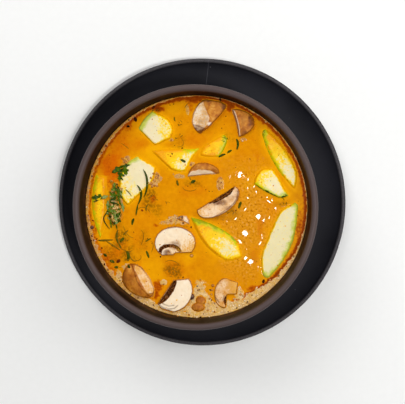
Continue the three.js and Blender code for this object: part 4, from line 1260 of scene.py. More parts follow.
def soup_surface(soup, x, y):
    """Heights and looks of the soup's surface at each place."""
    seed = soup.seed
    wall = SOUP_EDGE - np.hypot(x, y)
    shore = shore_of(x, y, FLOATING)
    pale_food = [n for n in FLOATING if n.startswith("zucchini")]
    glow = np.exp(-distance_to([p for n in pale_food for p in waterline(n, SOUP_LEVEL)], x, y) / 1.6)
    lively = ease(LIVELY_FROM, LIVELY_TO, x + 7 * cloud(x, y, 9.0, seed + 2)) * ease(6, 18, wall)
    ripple = soup.ripple / MM * (cloud(x, y, 8.5, seed) + 0.4 * cloud(x, y, 3.4, seed + 3))
    chop = soup.chop / MM * (0.25 + lively) * (cloud(x, y, 2.1, seed + 4) + 0.5 * cloud(x, y, 1.2, seed + 5))
    height = np.full_like(x, SOUP_LEVEL)
    still = raise_glints(height, x, y, seed)
    height += (ripple + chop) * (1 - 0.9 * still)
    height -= np.clip((-shore - 0.8) * 4, 0, SINK_DEPTH)

    width = by_angle(x, y, FROTH_WIDTHS)
    ragged = 0.5 * cloud(x, y, 2.4, seed + 6) + 0.3 * cloud(x, y, 1.1, seed + 7)
    band = 1 - ease(0.7, 1.25, wall / width + ragged)
    spots = patches(FROTH_PATCHES, x, y, 0.34, seed + 8)
    froth = np.maximum(band, spots)
    inland = np.interp(y, (-60, -10, 30), (0.95, 0.45, 0.12))
    pale = np.where(band > spots, by_angle(x, y, FROTH_PALENESS), inland)
    pale = np.clip(pale + 0.3 * cloud(x, y, 3.0, seed + 9), 0, 1)
    # Red oil, also painted shadow by the top of the wall and round the caps.
    seam = np.exp(-(((wall + 1.2 * ragged - width - 0.9) / 1.3) ** 2)) * by_angle(x, y, OIL_AND_SHADE_STRENGTHS)
    oil = np.maximum(seam, patches(OIL_AND_SHADE_PATCHES, x, y, 0.42, seed + 10, 0.6))
    warm = patches(WARM_PATCHES, x, y, 0.4, seed + 12, 0.7) + 0.16 * cloud(x, y, 7.0, seed + 13)
    gold = np.maximum(patches(YELLOW_PATCHES, x, y, 0.35, seed + 14, 0.7), 0.75 * glow * (1 - warm))
    gold = gold + 0.14 * cloud(x, y, 5.0, seed + 18)
    height += 0.12 * froth * (shore > 0)
    dry = shore > 0.2
    return height, {
        "froth": froth * dry, "pale": pale, "oil": np.clip(oil, 0, 1.2) * dry, "warm": np.clip(warm, 0, 1),
        "gold": np.clip(gold, 0, 1), "lively": lively * (1 - still),
        # The grain and painted sheen of the lively side.
        "haze": patches(GRAIN_AND_SHEEN_PATCHES, x, y, 0.3, seed + 17, 0.5),
        "murk": patches(MURK_PATCHES, x, y, 0.5, seed + 19, 0.6) * dry,
        "speck": dry * (0.35 + 0.65 * np.clip(cloud(x, y, 7.0, seed + 15), 0, 1)),
    }


class SOUP_OT_soup(bpy.types.Operator):
    """Pour the soup: a waved surface with froth and oil, closed down the bowl's wall"""

    bl_idname = "soup.soup"
    bl_label = "Soup"

    def execute(self, context):
        soup = context.scene.soup_soup
        cells = SOUP_CELLS
        x, y = disc_grid(cells)
        x, y = x * SOUP_EDGE, y * SOUP_EDGE
        height, looks = soup_surface(soup, x, y)
        points = list(zip(x, y, height))
        row = cells + 1
        faces = [
            (i * row + j, (i + 1) * row + j, (i + 1) * row + j + 1, i * row + j + 1)
            for i in range(cells) for j in range(cells)
        ]
        ring = grid_edge(cells)
        turns = [math.atan2(y[i], x[i]) for i in ring]
        # The closed body follows the wall down in a few rings, to a floor over the bowl's own.
        wall = [p for p in bezier(INNER_WALL, steps=7)[::-1] if 4 < p[0] and p[1] < SOUP_LEVEL - 1]
        for radius, level in wall:
            start = len(points)
            reach = radius - WALL_GAP
            points += [(reach * math.cos(t), reach * math.sin(t), level + WALL_GAP) for t in turns]
            below = list(range(start, len(points)))
            faces += zip(ring, ring[1:] + ring[:1], below[1:] + below[:1], below)
            ring = below
        faces.append(tuple(ring))
        piece = plain_mesh("soup_broth", points, faces)
        face_outwards(piece)
        rest = np.zeros(len(points) - len(x))
        store_all(piece.data, {name: np.concatenate([values, rest]) for name, values in looks.items()})
        settle(piece, broth_material(soup), "soup", "soup")
        return {"FINISHED"}


# ------------------------------------------------------------------ zucchini and mushroom


def above_soup(points):
    """How much a point on a floating piece may be moved: not under the soup, fully on top."""
    return ease(SOUP_LEVEL + 0.1, SOUP_LEVEL + 0.8, points[:, 2])


def worn_down(points, shore, reach):
    """How far an edge is worn down towards the soup, for points within reach of the shore."""
    over = np.clip(points[:, 2] - SOUP_LEVEL, 0, None)
    return 0.9 * over * (1 - ease(0, reach, shore))


def towards(points, start, end):
    """How far along the way from start to end each point is, from 0 to 1."""
    way = np.subtract(end, start)
    return np.clip(((points[:, :2] - start) @ way) / (way @ way), 0, 1)


class SOUP_OT_zucchini(bpy.types.Operator):
    """Make the zucchini chunks with soft worn edges, skin and a film of soup"""

    bl_idname = "soup.zucchini"
    bl_label = "Zucchini"

    def execute(self, context):
        food = context.scene.soup_food
        material = zucchini_material(food)
        for number, (node, part) in enumerate(ZUCCHINI.items()):
            piece = fine_copy(node, node.replace("zucchini", "boiled"), food.zucchini_voxel, rounds=3)
            points = read_points(piece.data)
            x, y = points[:, 0], points[:, 1]
            first, last, start, end = part["film"]
            creep = part["creep"]
            shore = distance_to(waterline(node, SOUP_LEVEL), x, y)
            rind = distance_to(along_line(part["skin"]), x, y)
            open_side = 1 - 0.85 * np.exp(-((rind / 2.0) ** 2))
            relief = 0.12 * cloud(x, y, 5.0, 40 + number) + 0.025 * cloud(x, y, 1.6, 60 + number)
            points[:, 2] += relief * above_soup(points)
            points[:, 2] -= worn_down(points, shore, min(1.5 * creep, 2.1)) * open_side
            write_points(piece.data, points)
            ragged = np.clip(shore + 0.45 * creep * cloud(x, y, 2.8, 90 + number), 0, None)
            film = first + (last - first) * towards(points, start, end)
            film += 0.8 * np.exp(-((ragged / (1.3 * creep)) ** 2)) * open_side
            store_all(piece.data, {
                "veil": np.exp(-((ragged / (0.8 * creep)) ** 2)) * open_side,
                "skin_mm": rind,
                "film": film,
                "dark": np.full(len(x), part.get("dark", 0.0)),
                "dull": np.full(len(x), part.get("dull", 0.0)),
                "dew": 0.2 + 0.8 * np.clip(film, 0, 1) * (points[:, 2] > SOUP_LEVEL + 0.6),
            })
            settle(piece, material, "zucchini", node)
        return {"FINISHED"}


# Distance between gill plates.
GILL_PLATE = 0.9


def gill_looks(points, part):
    """How much of a gill each point of a slice is, and its place along and across the fan."""
    turn = math.radians(90 - part["heading"])
    off = points[:, :2] - part["middle"]
    across = off[:, 0] * math.cos(turn) - off[:, 1] * math.sin(turn)
    along = off[:, 0] * math.sin(turn) + off[:, 1] * math.cos(turn)
    reach, rise, width, shift, base = part["gills"]
    x, y = across - shift, along - base
    inner_reach, inner_rise = reach - width, max(rise - width, 0.2)
    inside = (1 - np.hypot(x / reach, y / rise)) * rise
    outside = (np.hypot(x / inner_reach, y / inner_rise) - 1) * inner_rise
    ragged = 0.45 * cloud(points[:, 0], points[:, 1], 1.3, 21)
    gill = ease(-0.25, 0.2, np.minimum(np.minimum(inside, outside), y) + ragged)
    fan = np.arctan2(y * reach / rise, x) * reach / GILL_PLATE
    return gill, fan, 0.35 * np.hypot(x, y)


def paint_mushroom(piece, node, flesh, gill, fan, part):
    """Stores what the mushroom's material needs to know at each point."""
    points = read_points(piece.data)
    x, y = points[:, 0], points[:, 1]
    bare = points[(flesh < 0.5) & (points[:, 2] > SOUP_LEVEL - 0.3)]
    rim = distance_to(bare[:, :2].tolist(), x, y) if len(bare) else np.full(len(x), 9.0)
    shore = distance_to(waterline(node, SOUP_LEVEL), x, y)
    first, last, start, end = part.get("film", NO_FILM)
    line = distance_to([p for crease in SKIN_AND_FOLD_SHADE_LINES for p in along_line(crease)], x, y)
    store_all(piece.data, {
        "flesh": flesh, "gill": gill, "fan_turn": fan[0], "fan_reach": fan[1],
        "rim_mm": rim + (0.3 if node in MUSHROOM_CAPS else 0.0),
        "toast": part["toast"] * (0.8 + 0.4 * cloud(x, y, 3.0, 80)),
        "film": flesh * (first + (last - first) * towards(points, start, end)),
        "veil": 0.9 * np.exp(-((shore / 0.6) ** 2)),
        # Dark lines of cut skin, and painted shade along folds.
        "crease": 0.9 * np.exp(-((line / 0.42) ** 2)) * (0.75 + 0.35 * cloud(x, y, 2.0, 81)),
        # Brown spots, partly painted shade.
        "brown": patches(BROWN_AND_SHADE_SPOTS, x, y, 0.4, 82, 0.5),
        # Pale cuts with painted highlights.
        "bright": patches(HIGHLIGHT_AND_PALE_SPOTS, x, y, 0.3, 83, 0.4),
        "dew": 0.25 * flesh * (1 - gill),
    })


def right_of(line, points):
    """1 to the right of a line, as one goes along it in plan, and 0 to its left; ragged between."""
    samples = np.array(along_line(line))
    ways = np.gradient(samples, axis=0)
    gaps = points[:, None, :2] - samples
    nearest = np.argmin((gaps**2).sum(2), axis=1)
    gap, way = gaps[np.arange(len(points)), nearest], ways[nearest]
    aside = (gap[:, 0] * way[:, 1] - gap[:, 1] * way[:, 0]) / np.linalg.norm(way, axis=1)
    wander = 0.4 * cloud(points[:, 0], points[:, 1], 2.0, 33)
    return ease(-0.3, 0.3, aside + wander)


class SOUP_OT_mushrooms(bpy.types.Operator):
    """Make the mushroom slices, caps and scraps with flesh, gills and skin"""

    bl_idname = "soup.mushrooms"
    bl_label = "Mushrooms"

    def execute(self, context):
        food = context.scene.soup_food
        material = mushroom_material(food)
        nodes = [n for n in FLOATING if n.startswith("mushroom")]
        for number, node in enumerate(nodes):
            piece = fine_copy(node, node.replace("mushroom", "cooked"), food.mushroom_voxel, rounds=3)
            points = read_points(piece.data)
            normals = np.array([v.normal for v in piece.data.vertices])
            x, y = points[:, 0], points[:, 1]
            gill = np.zeros(len(x))
            fan = gill, gill
            if node in MUSHROOM_SLICES:
                part = MUSHROOM_SLICES[node]
                gill, *fan = gill_looks(points, part)
                flesh = np.maximum(ease(0.5, 0.8, normals[:, 2]), gill) * (points[:, 2] > SOUP_LEVEL)
            elif node in MUSHROOM_CAPS:
                part = MUSHROOM_CAPS[node]
                face = np.array(part["face"]) / np.linalg.norm(part["face"])
                flesh = 1 - ease(0.2, 0.4, np.abs((points - part["point"]) @ face))
                if "skin_line" in part:
                    flesh *= right_of(part["skin_line"], points)
            elif node == "mushroom_chip":
                part = {"toast": 0.9}
                flesh = ease(0.5, 0.8, normals[:, 2])
            else:
                part = {"toast": 0.9}
                flesh = np.zeros(len(x))
            relief = 0.12 * cloud(x, y, 2.8, 90 + number) + 0.05 * cloud(x, y, 1.2, 110 + number)
            relief -= 0.12 * (1 - flesh) * np.abs(cloud(x, y, 1.7, 130 + number)) + 0.15 * gill
            points[:, 2] += relief * above_soup(points)
            shore = distance_to(waterline(node, SOUP_LEVEL), x, y)
            points[:, 2] -= worn_down(points, shore, 0.9)
            write_points(piece.data, points)
            paint_mushroom(piece, node, flesh, gill, fan, part)
            settle(piece, material, "mushroom", node)
        return {"FINISHED"}


# ------------------------------------------------------------------ leaves, shreds and threads


def line_through(corners, steps):
    """A smooth line through three or four points in plan."""
    places = np.array(corners, float)
    knots = np.linspace(0, 1, len(places))
    t = np.linspace(0, 1, steps + 1)
    fits = [np.polyfit(knots, places[:, axis], len(places) - 1) for axis in (0, 1)]
    return np.stack([np.polyval(fit, t) for fit in fits], 1)


def sheet(rows, thickness):
    """A closed thin body from rows of points of one length: a top, a bottom and a rim."""
    grid = np.array(rows, float)
    count, width = grid.shape[:2]
    top = grid.reshape(-1, 3)
    bottom = top - (0, 0, thickness)
    low = len(top)
    number = np.arange(low).reshape(count, width)
    faces = []
    for i in range(count - 1):
        for j in range(width - 1):
            a, b, c, d = number[i, j], number[i + 1, j], number[i + 1, j + 1], number[i, j + 1]
            faces += [(a, b, c, d), (d + low, c + low, b + low, a + low)]
    rim = [*number[:, 0], *number[-1, 1:], *number[-2::-1, -1], *number[0, -2:0:-1]]
    for a, b in zip(rim, rim[1:] + rim[:1]):
        faces.append((b, a, a + low, b + low))
    return np.concatenate([top, bottom]), [tuple(int(v) for v in face) for face in faces]


def thread(line, radius, sides):
    """A closed thin round body along a line of points in space, tapered at its ends."""
    line = np.array(line, float)
    along = np.gradient(line, axis=0)
    along /= np.linalg.norm(along, axis=1)[:, None] + 1e-9
    across = np.cross(along, (0, 0, 1))
    across /= np.linalg.norm(across, axis=1)[:, None] + 1e-9
    over = np.cross(across, along)
    points, faces = [], []
    for i, (place, side, up) in enumerate(zip(line, across, over)):
        share = i / (len(line) - 1)
        reach = radius * (0.35 + 0.65 * math.sin(math.pi * share) ** 0.5)
        for k in range(sides):
            turn = 2 * math.pi * k / sides
            points.append(place + reach * (math.cos(turn) * side + math.sin(turn) * up))
    for i in range(len(line) - 1):
        for k in range(sides):
            a, b = i * sides + k, i * sides + (k + 1) % sides
            faces.append((a, b, b + sides, a + sides))
    last = (len(line) - 1) * sides
    faces.append(tuple(range(sides))[::-1])
    faces.append(tuple(range(last, last + sides)))
    return np.array(points), faces


def joined(name, parts):
    """One object from many small bodies, each as its points, its faces and its tint."""
    points, faces, tints = [], [], []
    for part_points, part_faces, tint in parts:
        start = len(points)
        points += list(part_points)
        faces += [tuple(v + start for v in face) for face in part_faces]
        tints += [tint] * len(part_points)
    piece = plain_mesh(name, points, faces)
    face_outwards(piece)
    store_all(piece.data, {"tint": tints})
    return piece


def food_pieces():
    """The names of the finished pieces of zucchini and mushroom."""
    return [o.name for o in bpy.data.objects if o.name.startswith(("boiled_", "cooked_"))]


def heaped(names):
    """One loose body from some finished pieces."""
    body = bmesh.new()
    for name in names:
        body.from_mesh(bpy.data.objects[name].data)
    return body


class Ground:
    """What lies under a place: the highest of some finished pieces, or else the soup."""

    def __init__(self, names):
        body = heaped(names)
        self.tree = BVHTree.FromBMesh(body)
        body.free()

    def height(self, x, y):
        top = fall_onto(self.tree, x, y)
        return SOUP_LEVEL if top is None else top


LEAF_LENGTH_STEPS = 11
LEAF_WIDTH_STEPS = 4


def leaflet(place, heading, length, width, lobes, rise, tilt, ground):
    """A lobed, wavy leaflet that lies over the ground with its sides and tip bent."""
    x, y = place
    rows = []
    for i in range(LEAF_LENGTH_STEPS + 1):
        t = i / LEAF_LENGTH_STEPS
        fullness = math.sin(math.pi * (0.06 + 0.9 * t)) ** 0.7
        half = width / 2 * fullness * (1 + 0.3 * math.sin(2 * math.pi * lobes * t + 1.1))
        row = []
        for j in range(LEAF_WIDTH_STEPS + 1):
            s = 2 * j / LEAF_WIDTH_STEPS - 1
            along = (t - 0.5) * length - 0.2 * length * abs(s) * (t - 0.4)
            across = s * half
            px = x + along * math.cos(heading) - across * math.sin(heading)
            py = y + along * math.sin(heading) + across * math.cos(heading)
            wave = 0.22 * math.sin(5 * t + heading * 3) + 0.28 * s * s * math.sin(4 * t + 1)
            row.append((px, py, wave + rise + tilt * along / length))
        rows.append(row)
    under = max(ground.height(p[0], p[1]) for row in rows[::3] for p in row[::2])
    low = min(p[2] for row in rows for p in row)
    return [[(a, b, c + under - min(low, 0) * 0.5) for a, b, c in row] for row in rows]


# Leaves of the heap and the sprigs: place, heading, length, width and how pale; the palest are painted with
# the grey sheen of wet leaf.
HEAP_LEAVES = (
    (-53.4, 14.5, -100, 3.7, 1.9, 0.7), (-53.6, 11.9, 20, 4.3, 2, 0.72), (-51.3, 10.9, -60, 4.6, 2, 0.45),
    (-55.5, 8.8, -55, 3.3, 1.5, 0.55), (-53.3, 7.3, -80, 5.9, 2.6, 0.4), (-51, 7.6, -85, 5.9, 2, 0.6),
    (-54.3, 5, 10, 3.6, 1.5, 0.3), (-49.3, 8.9, -70, 3.3, 1.6, 0.95), (-48.8, 6.3, -50, 2.6, 1.3, 0.5),
    (-50, 4.3, -80, 3.3, 1.3, 0.6), (-53.9, 2.8, -12, 5.9, 1.3, 0.3), (-51.3, 1.7, -30, 2.6, 1.3, 0.35),
    (-58.2, 1, -96, 6.9, 2, 0.82), (-48.3, -0.3, -80, 6.6, 1.9, 0.85), (-55.7, -2.5, -12, 5.3, 2.4, 0.6),
    (-53.6, -5.3, -42, 5.9, 1.2, 0.55), (-56.6, -6.3, -90, 3, 1.7, 0.15), (-50.4, -4.6, 55, 4.3, 1.7, 0.3),
    (-52.6, -7.3, -78, 4.2, 2, 0.9), (-50.3, -8.9, -30, 3.3, 1.9, 0.35), (-56.1, -11.3, -88, 6.3, 1.3, 0.5),
    (-53.9, -10.6, -35, 3.3, 0.9, 0.1), (-52.4, -13.6, -85, 3.3, 0.9, 0.4),
    (-58.6, -4.3, 80, 2.2, 1.6, 0.75), (-52, 14.9, -60, 1.3, 1.3, 0.1), (-59.9, 6.7, 15, 4, 2, 0.95),
    (-62, 5.8, 28, 3.3, 0.8, 0),
)
# The line that the heap's loose leaflets lie along, and how far they spread on the way.
HEAP_SPINE = ((-52.6, 14.2), (-52.6, 8.0), (-54.6, 0.0), (-54.0, -12.4))
HEAP_WIDTHS = (1.6, 2.8, 4.2, 4.6, 4.2, 3.4)
SPINE_STEPS = 60
CORE_VOXEL = 0.3
LEAF_THICKNESS = 0.16
LEAF_LOBES = 2.2
SHRED_STEPS = 12
SHRED_THICKNESS = 0.15
# The sprigs by name: the node that each replaces, and its leaves.
SPRIGS = {
    "sprig_back_leaves": (
        "herb_sprig_back",
        (
            (-51.6, 25.1, 33, 9.5, 3.4, 0.4), (-45.7, 27.4, 12, 5.6, 2.2, 0.35),
            (-46.4, 23.8, -78, 6.3, 4.1, 0.5), (-49.2, 21.4, -22, 5.7, 2.6, 0.4),
            (-50.4, 18.8, -82, 4.2, 2.1, 0.6), (-48.9, 18.8, -48, 3.3, 1.3, 0.3),
            (-49.7, 24.1, 40, 4, 2, 0.25), (-53.3, 23.2, 10, 2.6, 1.6, 0.55),
        ),
    ),
    "sprig_left_leaves": (
        "herb_sprig_left",
        (
            (-66.1, 6.3, 6, 6.2, 3, 0.35), (-63.6, 7.5, -30, 2.9, 2.1, 0.45), (-65.8, 4, 18, 5, 0.9, 0.1),
            (-60.8, 6.5, 12, 4.2, 2, 0.75),
        ),
    ),
}
HEAP_STEM = ((-58.9, -3.3), (-60.9, -6.5), (-60.8, -9.8), (-57.4, -14.7))


def laid_leaves(leaves, draw, ground, least, most, rise):
    """Leaves at their places as thin bodies, each with a tilt drawn from least to most."""
    parts = []
    for x, y, heading, length, width, tint in leaves:
        tilt = draw.uniform(least, most)
        rows = leaflet((x, y), math.radians(heading), length, width, LEAF_LOBES, rise, tilt, ground)
        parts.append((*sheet(rows, LEAF_THICKNESS), tint))
    return parts


def shred(corners, width, ground):
    """A narrow strip of leaf along a line, closed and laid over the ground."""
    line = line_through(corners, SHRED_STEPS)
    along = np.gradient(line, axis=0)
    along /= np.linalg.norm(along, axis=1)[:, None]
    rows = []
    for i, ((a, b), (u, v)) in enumerate(zip(line, along)):
        half = width / 2 * (0.3 + 0.7 * math.sin(math.pi * i / SHRED_STEPS) ** 0.6)
        row = [(a - v * half * s, b + u * half * s) for s in (-1, -0.33, 0.33, 1)]
        lift = 0.2 + 0.1 * math.sin(i * 1.1 + a)
        rows.append([(p, q, ground.height(p, q) + lift) for p, q in row])
    return sheet(rows, SHRED_THICKNESS)


def laid_thread(corners, ground, steps, lift, radius, sides=5):
    """A thin round stem or thread through its corners, lift over the ground."""
    line = [(a, b, ground.height(a, b) + lift) for a, b in line_through(corners, steps)]
    return thread(line, radius, sides)


class SOUP_OT_herbs(bpy.types.Operator):
    """Chop the coriander: a leafy heap over a core, two sprigs, shreds and sunken threads"""

    bl_idname = "soup.herbs"
    bl_label = "Coriander"

    def execute(self, context):
        herb = context.scene.soup_herb
        draw = np.random.default_rng(herb.seed)
        leaf = leaf_material(herb)
        core = fine_copy("herb_heap", "coriander_core", CORE_VOXEL * MM, rounds=4)
        points = read_points(core.data)
        shore = distance_to(waterline("herb_heap", SOUP_LEVEL + 0.8), points[:, 0], points[:, 1])
        points[:, 2] -= worn_down(points, shore, 2.2)
        points[:, 2] += 0.16 * cloud(points[:, 0], points[:, 1], 1.3, 6)
        write_points(core.data, points)
        store_all(core.data, {"veil": np.exp(-((shore / 1.1) ** 2))})
        settle(core, core_material(), "herb", "herb_heap")

        ground = Ground(["soup_broth", "coriander_core", *food_pieces()])
        spine = line_through(HEAP_SPINE, SPINE_STEPS)
        parts = laid_leaves(HEAP_LEAVES, draw, ground, least=-0.4, most=0.6, rise=0.7)
        for i in range(herb.leaflets):
            share = (i + 0.5) / herb.leaflets
            place = spine[int(share * SPINE_STEPS)]
            spread = np.interp(share, np.linspace(0, 1, len(HEAP_WIDTHS)), HEAP_WIDTHS)
            side = draw.uniform(-1, 1) * spread
            rows = leaflet(
                (place[0] + side, place[1] + draw.uniform(-1, 1)), draw.uniform(0, 2 * math.pi),
                draw.uniform(2.0, 4.2), draw.uniform(0.7, 1.7), draw.uniform(1.6, 2.6),
                0.1 + 0.3 * draw.uniform(), draw.uniform(-0.8, 0.8), ground,
            )
            parts.append((*sheet(rows, LEAF_THICKNESS), draw.uniform(0.05, 0.9)))
        parts.append((*laid_thread(HEAP_STEM, ground, steps=16, lift=0.3, radius=0.44, sides=6), 0.15))
        settle(joined("heap_leaflets", parts), leaf, "herb")

        for name, (node, leaves) in SPRIGS.items():
            parts = laid_leaves(leaves, draw, ground, least=-0.3, most=0.5, rise=0.2)
            settle(joined(name, parts), leaf, "herb", node)

        sunk = wisp_material()
        shreds = SHREDS + SHREDS_ON_ZUCCHINI
        parts = [(*shred(corners, width, ground), tint) for *corners, width, tint in shreds]
        settle(joined("leaf_shreds", parts), sunk, "herb")
        parts = [(*laid_thread(corners, ground, steps=20, lift=0.02, radius=0.21), 0.7) for corners in CURLS]
        settle(joined("stem_curls", parts), sunk, "herb")
        parts = []
        for x, y, reach, count in WISPS:
            for _ in range(count):
                turn, away = draw.uniform(0, 2 * math.pi), reach * math.sqrt(draw.uniform())
                start = np.array((x + away * math.cos(turn), y + 0.8 * away * math.sin(turn)))
                heading = draw.uniform(0, 2 * math.pi)
                way = np.array((math.cos(heading), math.sin(heading)))
                bow = np.array((-way[1], way[0])) * draw.uniform(-0.7, 0.7)
                length = draw.uniform(1.0, 2.6)
                corners = start, start + way * length / 2 + bow, start + way * length
                radius = draw.uniform(0.12, 0.34)
                strand = laid_thread(corners, ground, steps=7, lift=0, radius=radius, sides=4)
                parts.append((*strand, draw.uniform(0.5, 1.0)))
        settle(joined("sunken_threads", parts), sunk, "herb")
        return {"FINISHED"}


# ------------------------------------------------------------------ froth, oil and specks


def scatter_group(name):
    """A node group that strews small squashed balls over a surface, at true size."""
    tree = bpy.data.node_groups.new(name, "GeometryNodeTree")
    sizes = ("Spacing", "Density", "Smallest", "Largest", "Flatness", "Length")
    inputs = {
        "Surface": "Geometry", "Where": "String", **dict.fromkeys(sizes, "Float"), "Seed": "Int",
        "Material": "Material",
    }
    for label, kind in inputs.items():
        tree.interface.new_socket(label, in_out="INPUT", socket_type="NodeSocket" + kind)
    tree.interface.new_socket("Pieces", in_out="OUTPUT", socket_type="NodeSocketGeometry")
    given = add(tree, "NodeGroupInput").outputs
    where = add(tree, "GeometryNodeInputNamedAttribute", {"Name": given["Where"]}, data_type="FLOAT")
    points = add(
        tree, "GeometryNodeDistributePointsOnFaces",
        {
            "Mesh": given["Surface"], "Distance Min": given["Spacing"], "Density Max": given["Density"],
            "Density Factor": where, "Seed": given["Seed"],
        },
        distribute_method="POISSON",
    )
    ball = add(tree, "GeometryNodeMeshUVSphere", {"Segments": 8, "Rings": 5, "Radius": 1.0})
    chance = add(tree, "FunctionNodeRandomValue", {2: 0.0, 3: 1.0, "Seed": given["Seed"]}, data_type="FLOAT")
    few_large = add(tree, "Math", [chance, 2.8], operation="POWER")
    size = add(tree, "MapRange", {0: few_large, 3: given["Smallest"], 4: given["Largest"]})
    across = add(tree, "Math", [size, given["Length"]], operation="MULTIPLY")
    up = add(tree, "Math", [size, given["Flatness"]], operation="MULTIPLY")
    shape = add(tree, "CombineXYZ", [across, size, up])
    spun = add(tree, "FunctionNodeRandomValue", {2: 0.0, 3: 2 * math.pi, 8: 5}, data_type="FLOAT")
    about = add(tree, "CombineXYZ", {2: spun})
    turn = add(
        tree, "FunctionNodeRotateRotation",
        [points.outputs["Rotation"], add(tree, "FunctionNodeEulerToRotation", [about])],
        rotation_space="LOCAL",
    )
    strewn = add(
        tree, "GeometryNodeInstanceOnPoints",
        {"Points": points, "Instance": ball, "Rotation": turn, "Scale": shape},
    )
    tint = add(tree, "FunctionNodeRandomValue", {2: 0.0, 3: 1.0, 8: 9}, data_type="FLOAT")
    tinted = add(
        tree, "GeometryNodeStoreNamedAttribute",
        {"Geometry": strewn, "Name": "tint", "Value": tint},
        data_type="FLOAT", domain="INSTANCE",
    )
    real = add(tree, "GeometryNodeRealizeInstances", {"Geometry": tinted})
    dressed = add(tree, "GeometryNodeSetMaterial", {"Geometry": real, "Material": given["Material"]})
    add(tree, "NodeGroupOutput", [dressed])
    return tree


# Strewn balls: the stored value that says where, their least distance apart, how many there are to
# a square metre, their smallest and largest radius, and their height and length to their width.
STREWN = {
    "froth_bubbles": ("froth", 1.2, 6.0e5, 0.2, 0.85, 0.36, 1.0),
    "soup_specks": ("speck", 1.6, 5.2e4, 0.08, 0.34, 0.5, 1.5),
    "food_specks": ("dew", 1.5, 6.0e4, 0.07, 0.24, 0.5, 1.5),
    "oil_drops": ("dew", 1.1, 1.6e5, 0.12, 0.5, 0.3, 1.25),
}


def strew(name, grounds, group, material, seed):
    """Strews the group's balls over some finished pieces and keeps them as one plain mesh."""
    body = heaped(grounds)
    mesh = bpy.data.meshes.new(name)
    body.to_mesh(mesh)
    body.free()
    piece = in_scene(name, mesh)
    modifier = piece.modifiers.new("Strewn", "NODES")
    modifier.node_group = group
    where, spacing, density, smallest, largest, flatness, length = STREWN[name]
    values = {
        "Where": where, "Spacing": spacing * MM, "Density": density, "Smallest": smallest * MM,
        "Largest": largest * MM, "Flatness": flatness, "Length": length, "Seed": seed,
        "Material": material,
    }
    for item in group.interface.items_tree:
        if item.in_out == "INPUT" and item.name in values:
            modifier[item.identifier] = values[item.name]
    finish_shape(piece)
    if not piece.data.vertices:
        raise ValueError(f"{name} came out empty")
    settle(piece, material, "soup")


def domes(name, spots, tints, flatness, length=1.0):
    """Small squashed balls at given places, half sunk in what is under them, each turned its way."""
    ground = Ground(["soup_broth", *food_pieces()])
    parts = []
    for i, (x, y, radius) in enumerate(spots):
        body = bmesh.new()
        bmesh.ops.create_icosphere(body, subdivisions=3, radius=radius)
        shape = Matrix.Diagonal((length, 1 / length, flatness, 1))
        place = Matrix.Translation((x, y, ground.height(x, y))) @ Matrix.Rotation(1.9 * i, 4, "Z")
        bmesh.ops.transform(body, matrix=place @ shape, verts=body.verts)
        points = np.array([v.co for v in body.verts])
        faces = [tuple(v.index for v in face.verts) for face in body.faces]
        body.free()
        parts.append((points, faces, tints[i % len(tints)]))
    return joined(name, parts)


class SOUP_OT_froth(bpy.types.Operator):
    """Strew the froth bubbles, the clear bubbles, the oil drops, the seeds and the specks"""

    bl_idname = "soup.froth"
    bl_label = "Froth, oil and specks"

    def execute(self, context):
        soup = context.scene.soup_soup
        group = scatter_group("Strewn balls")
        froth = bubble_material()
        specks = speck_material()
        strew("froth_bubbles", ["soup_broth"], group, froth, soup.seed)
        strew("soup_specks", ["soup_broth"], group, specks, soup.seed + 1)
        strew("food_specks", food_pieces(), group, specks, soup.seed + 2)
        strew("oil_drops", food_pieces(), group, oil_material(), soup.seed + 3)
        clear = domes("clear_bubbles", BIG_BUBBLES, (0.5,), flatness=0.55)
        settle(clear, clear_bubble_material(), "soup")
        ringed = domes("ringed_bubbles", RINGED_BUBBLES, (0.5, 0.7, 0.35), flatness=0.6)
        settle(ringed, froth, "soup")
        seeds = domes("seeds_and_bits", SEEDS, (0.0, 0.12, 0.34, 0.5, 0.2), flatness=0.5, length=1.25)
        settle(seeds, specks, "soup")
        return {"FINISHED"}


# ------------------------------------------------------------------ the stage


def aimed(data, name, place, target):
    """A lamp or camera at a place in millimetres that looks at a target, with +Y up in view."""
    thing = in_scene(name, data)
    back = (Vector(place) - Vector(target)).normalized()
    right = Vector((0, 1, 0)).cross(back).normalized()
    turn = Matrix((right, back.cross(right), back)).transposed()
    thing.matrix_world = Matrix.Translation(Vector(place) * MM) @ turn.to_4x4()
    return thing


FLOOR_REACH = 3000
FLOOR_DROP = 0.05
SENSOR_WIDTH = 36


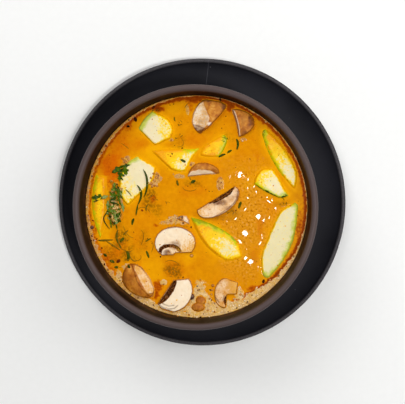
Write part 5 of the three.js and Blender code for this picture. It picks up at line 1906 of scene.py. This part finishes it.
class SOUP_OT_stage(bpy.types.Operator):
    """Set the pale floor, the soft studio lamps and the camera"""

    bl_idname = "soup.stage"
    bl_label = "Stage"

    def execute(self, context):
        stage = context.scene.soup_stage
        scene = context.scene
        sides = ((-1, -1), (1, -1), (1, 1), (-1, 1))
        corners = [(x * FLOOR_REACH, y * FLOOR_REACH, -FLOOR_DROP) for x, y in sides]
        floor = plain_mesh("paper_floor", corners, [(0, 1, 2, 3)], smooth=False)
        floor.data.materials.append(floor_material(stage))
        # Each lamp's place and target in millimetres, its width in metres and its power.
        lamps = (
            ("key_soft_box", (-330, 790, 880), (0, 0, 40), 0.7, stage.key_power),
            ("fill_soft_box", (680, 380, 760), (0, 0, 40), 0.8, stage.fill_power),
            ("glint_lamp", LAMP_PLACE, (30, 0, SOUP_LEVEL), 0.19, stage.lamp_power),
        )
        for name, place, target, width, power in lamps:
            lamp = bpy.data.lights.new(name, "AREA")
            lamp.size = width
            lamp.energy = power
            aimed(lamp, name, place, target)
        world = bpy.data.worlds.new("soft_room")
        world.use_nodes = True
        tree = world.node_tree
        tree.nodes.clear()
        way = add(tree, "TexCoord").outputs["Generated"]
        up = add(tree, "SeparateXYZ", [way]).outputs[2]
        # Walls that glow softly under a dark ceiling, so that flat wet things don't look milky.
        room = add(tree, "ValToRGB", [up], stops=[(0.0, "#B8B8BA"), (0.72, "#B8B8BA"), (0.93, "#242220")])
        light = add(tree, "Background", [room, stage.room_light])
        add(tree, "OutputWorld", [light])
        scene.world = world
        camera = bpy.data.cameras.new("camera")
        camera.lens = CAMERA_LENS
        camera.sensor_width = SENSOR_WIDTH
        camera.clip_start = 0.05
        scene.camera = aimed(camera, "camera", CAMERA_PLACE, CAMERA_TARGET)
        scene.view_settings.view_transform = "Standard"
        return {"FINISHED"}


# ------------------------------------------------------------------ the add-on

STEPS = (
    SOUP_OT_underplate, SOUP_OT_bowl, SOUP_OT_soup, SOUP_OT_zucchini, SOUP_OT_mushrooms, SOUP_OT_herbs,
    SOUP_OT_froth, SOUP_OT_stage,
)
GROUPS = {
    "soup_dish": DishSettings, "soup_soup": SoupSettings, "soup_food": FoodSettings,
    "soup_herb": HerbSettings, "soup_stage": StageSettings,
}


class SOUP_PT_panel(bpy.types.Panel):
    """Lists the steps that make the bowl of soup, and their settings"""

    bl_idname = "SOUP_PT_panel"
    bl_label = "Bowl of Tom Yum Soup"
    bl_space_type = "VIEW_3D"
    bl_region_type = "UI"
    bl_category = "Soup"

    def draw(self, context):
        for step in STEPS:
            self.layout.operator(step.bl_idname)
        for name, group in GROUPS.items():
            box = self.layout.box()
            settings = getattr(context.scene, name)
            for setting in group.__annotations__:
                box.prop(settings, setting)


def register():
    for group in GROUPS.values():
        bpy.utils.register_class(group)
    for step in STEPS:
        bpy.utils.register_class(step)
    bpy.utils.register_class(SOUP_PT_panel)
    for name, group in GROUPS.items():
        setattr(bpy.types.Scene, name, PointerProperty(type=group))


def unregister():
    for name in GROUPS:
        delattr(bpy.types.Scene, name)
    bpy.utils.unregister_class(SOUP_PT_panel)
    for step in reversed(STEPS):
        bpy.utils.unregister_class(step)
    for group in reversed(GROUPS.values()):
        bpy.utils.unregister_class(group)


def main():
    register()
    bpy.ops.soup.underplate()
    bpy.ops.soup.bowl()
    bpy.ops.soup.soup()
    bpy.ops.soup.zucchini()
    bpy.ops.soup.mushrooms()
    bpy.ops.soup.herbs()
    bpy.ops.soup.froth()
    bpy.ops.soup.stage()


if __name__ == "__main__":
    main()
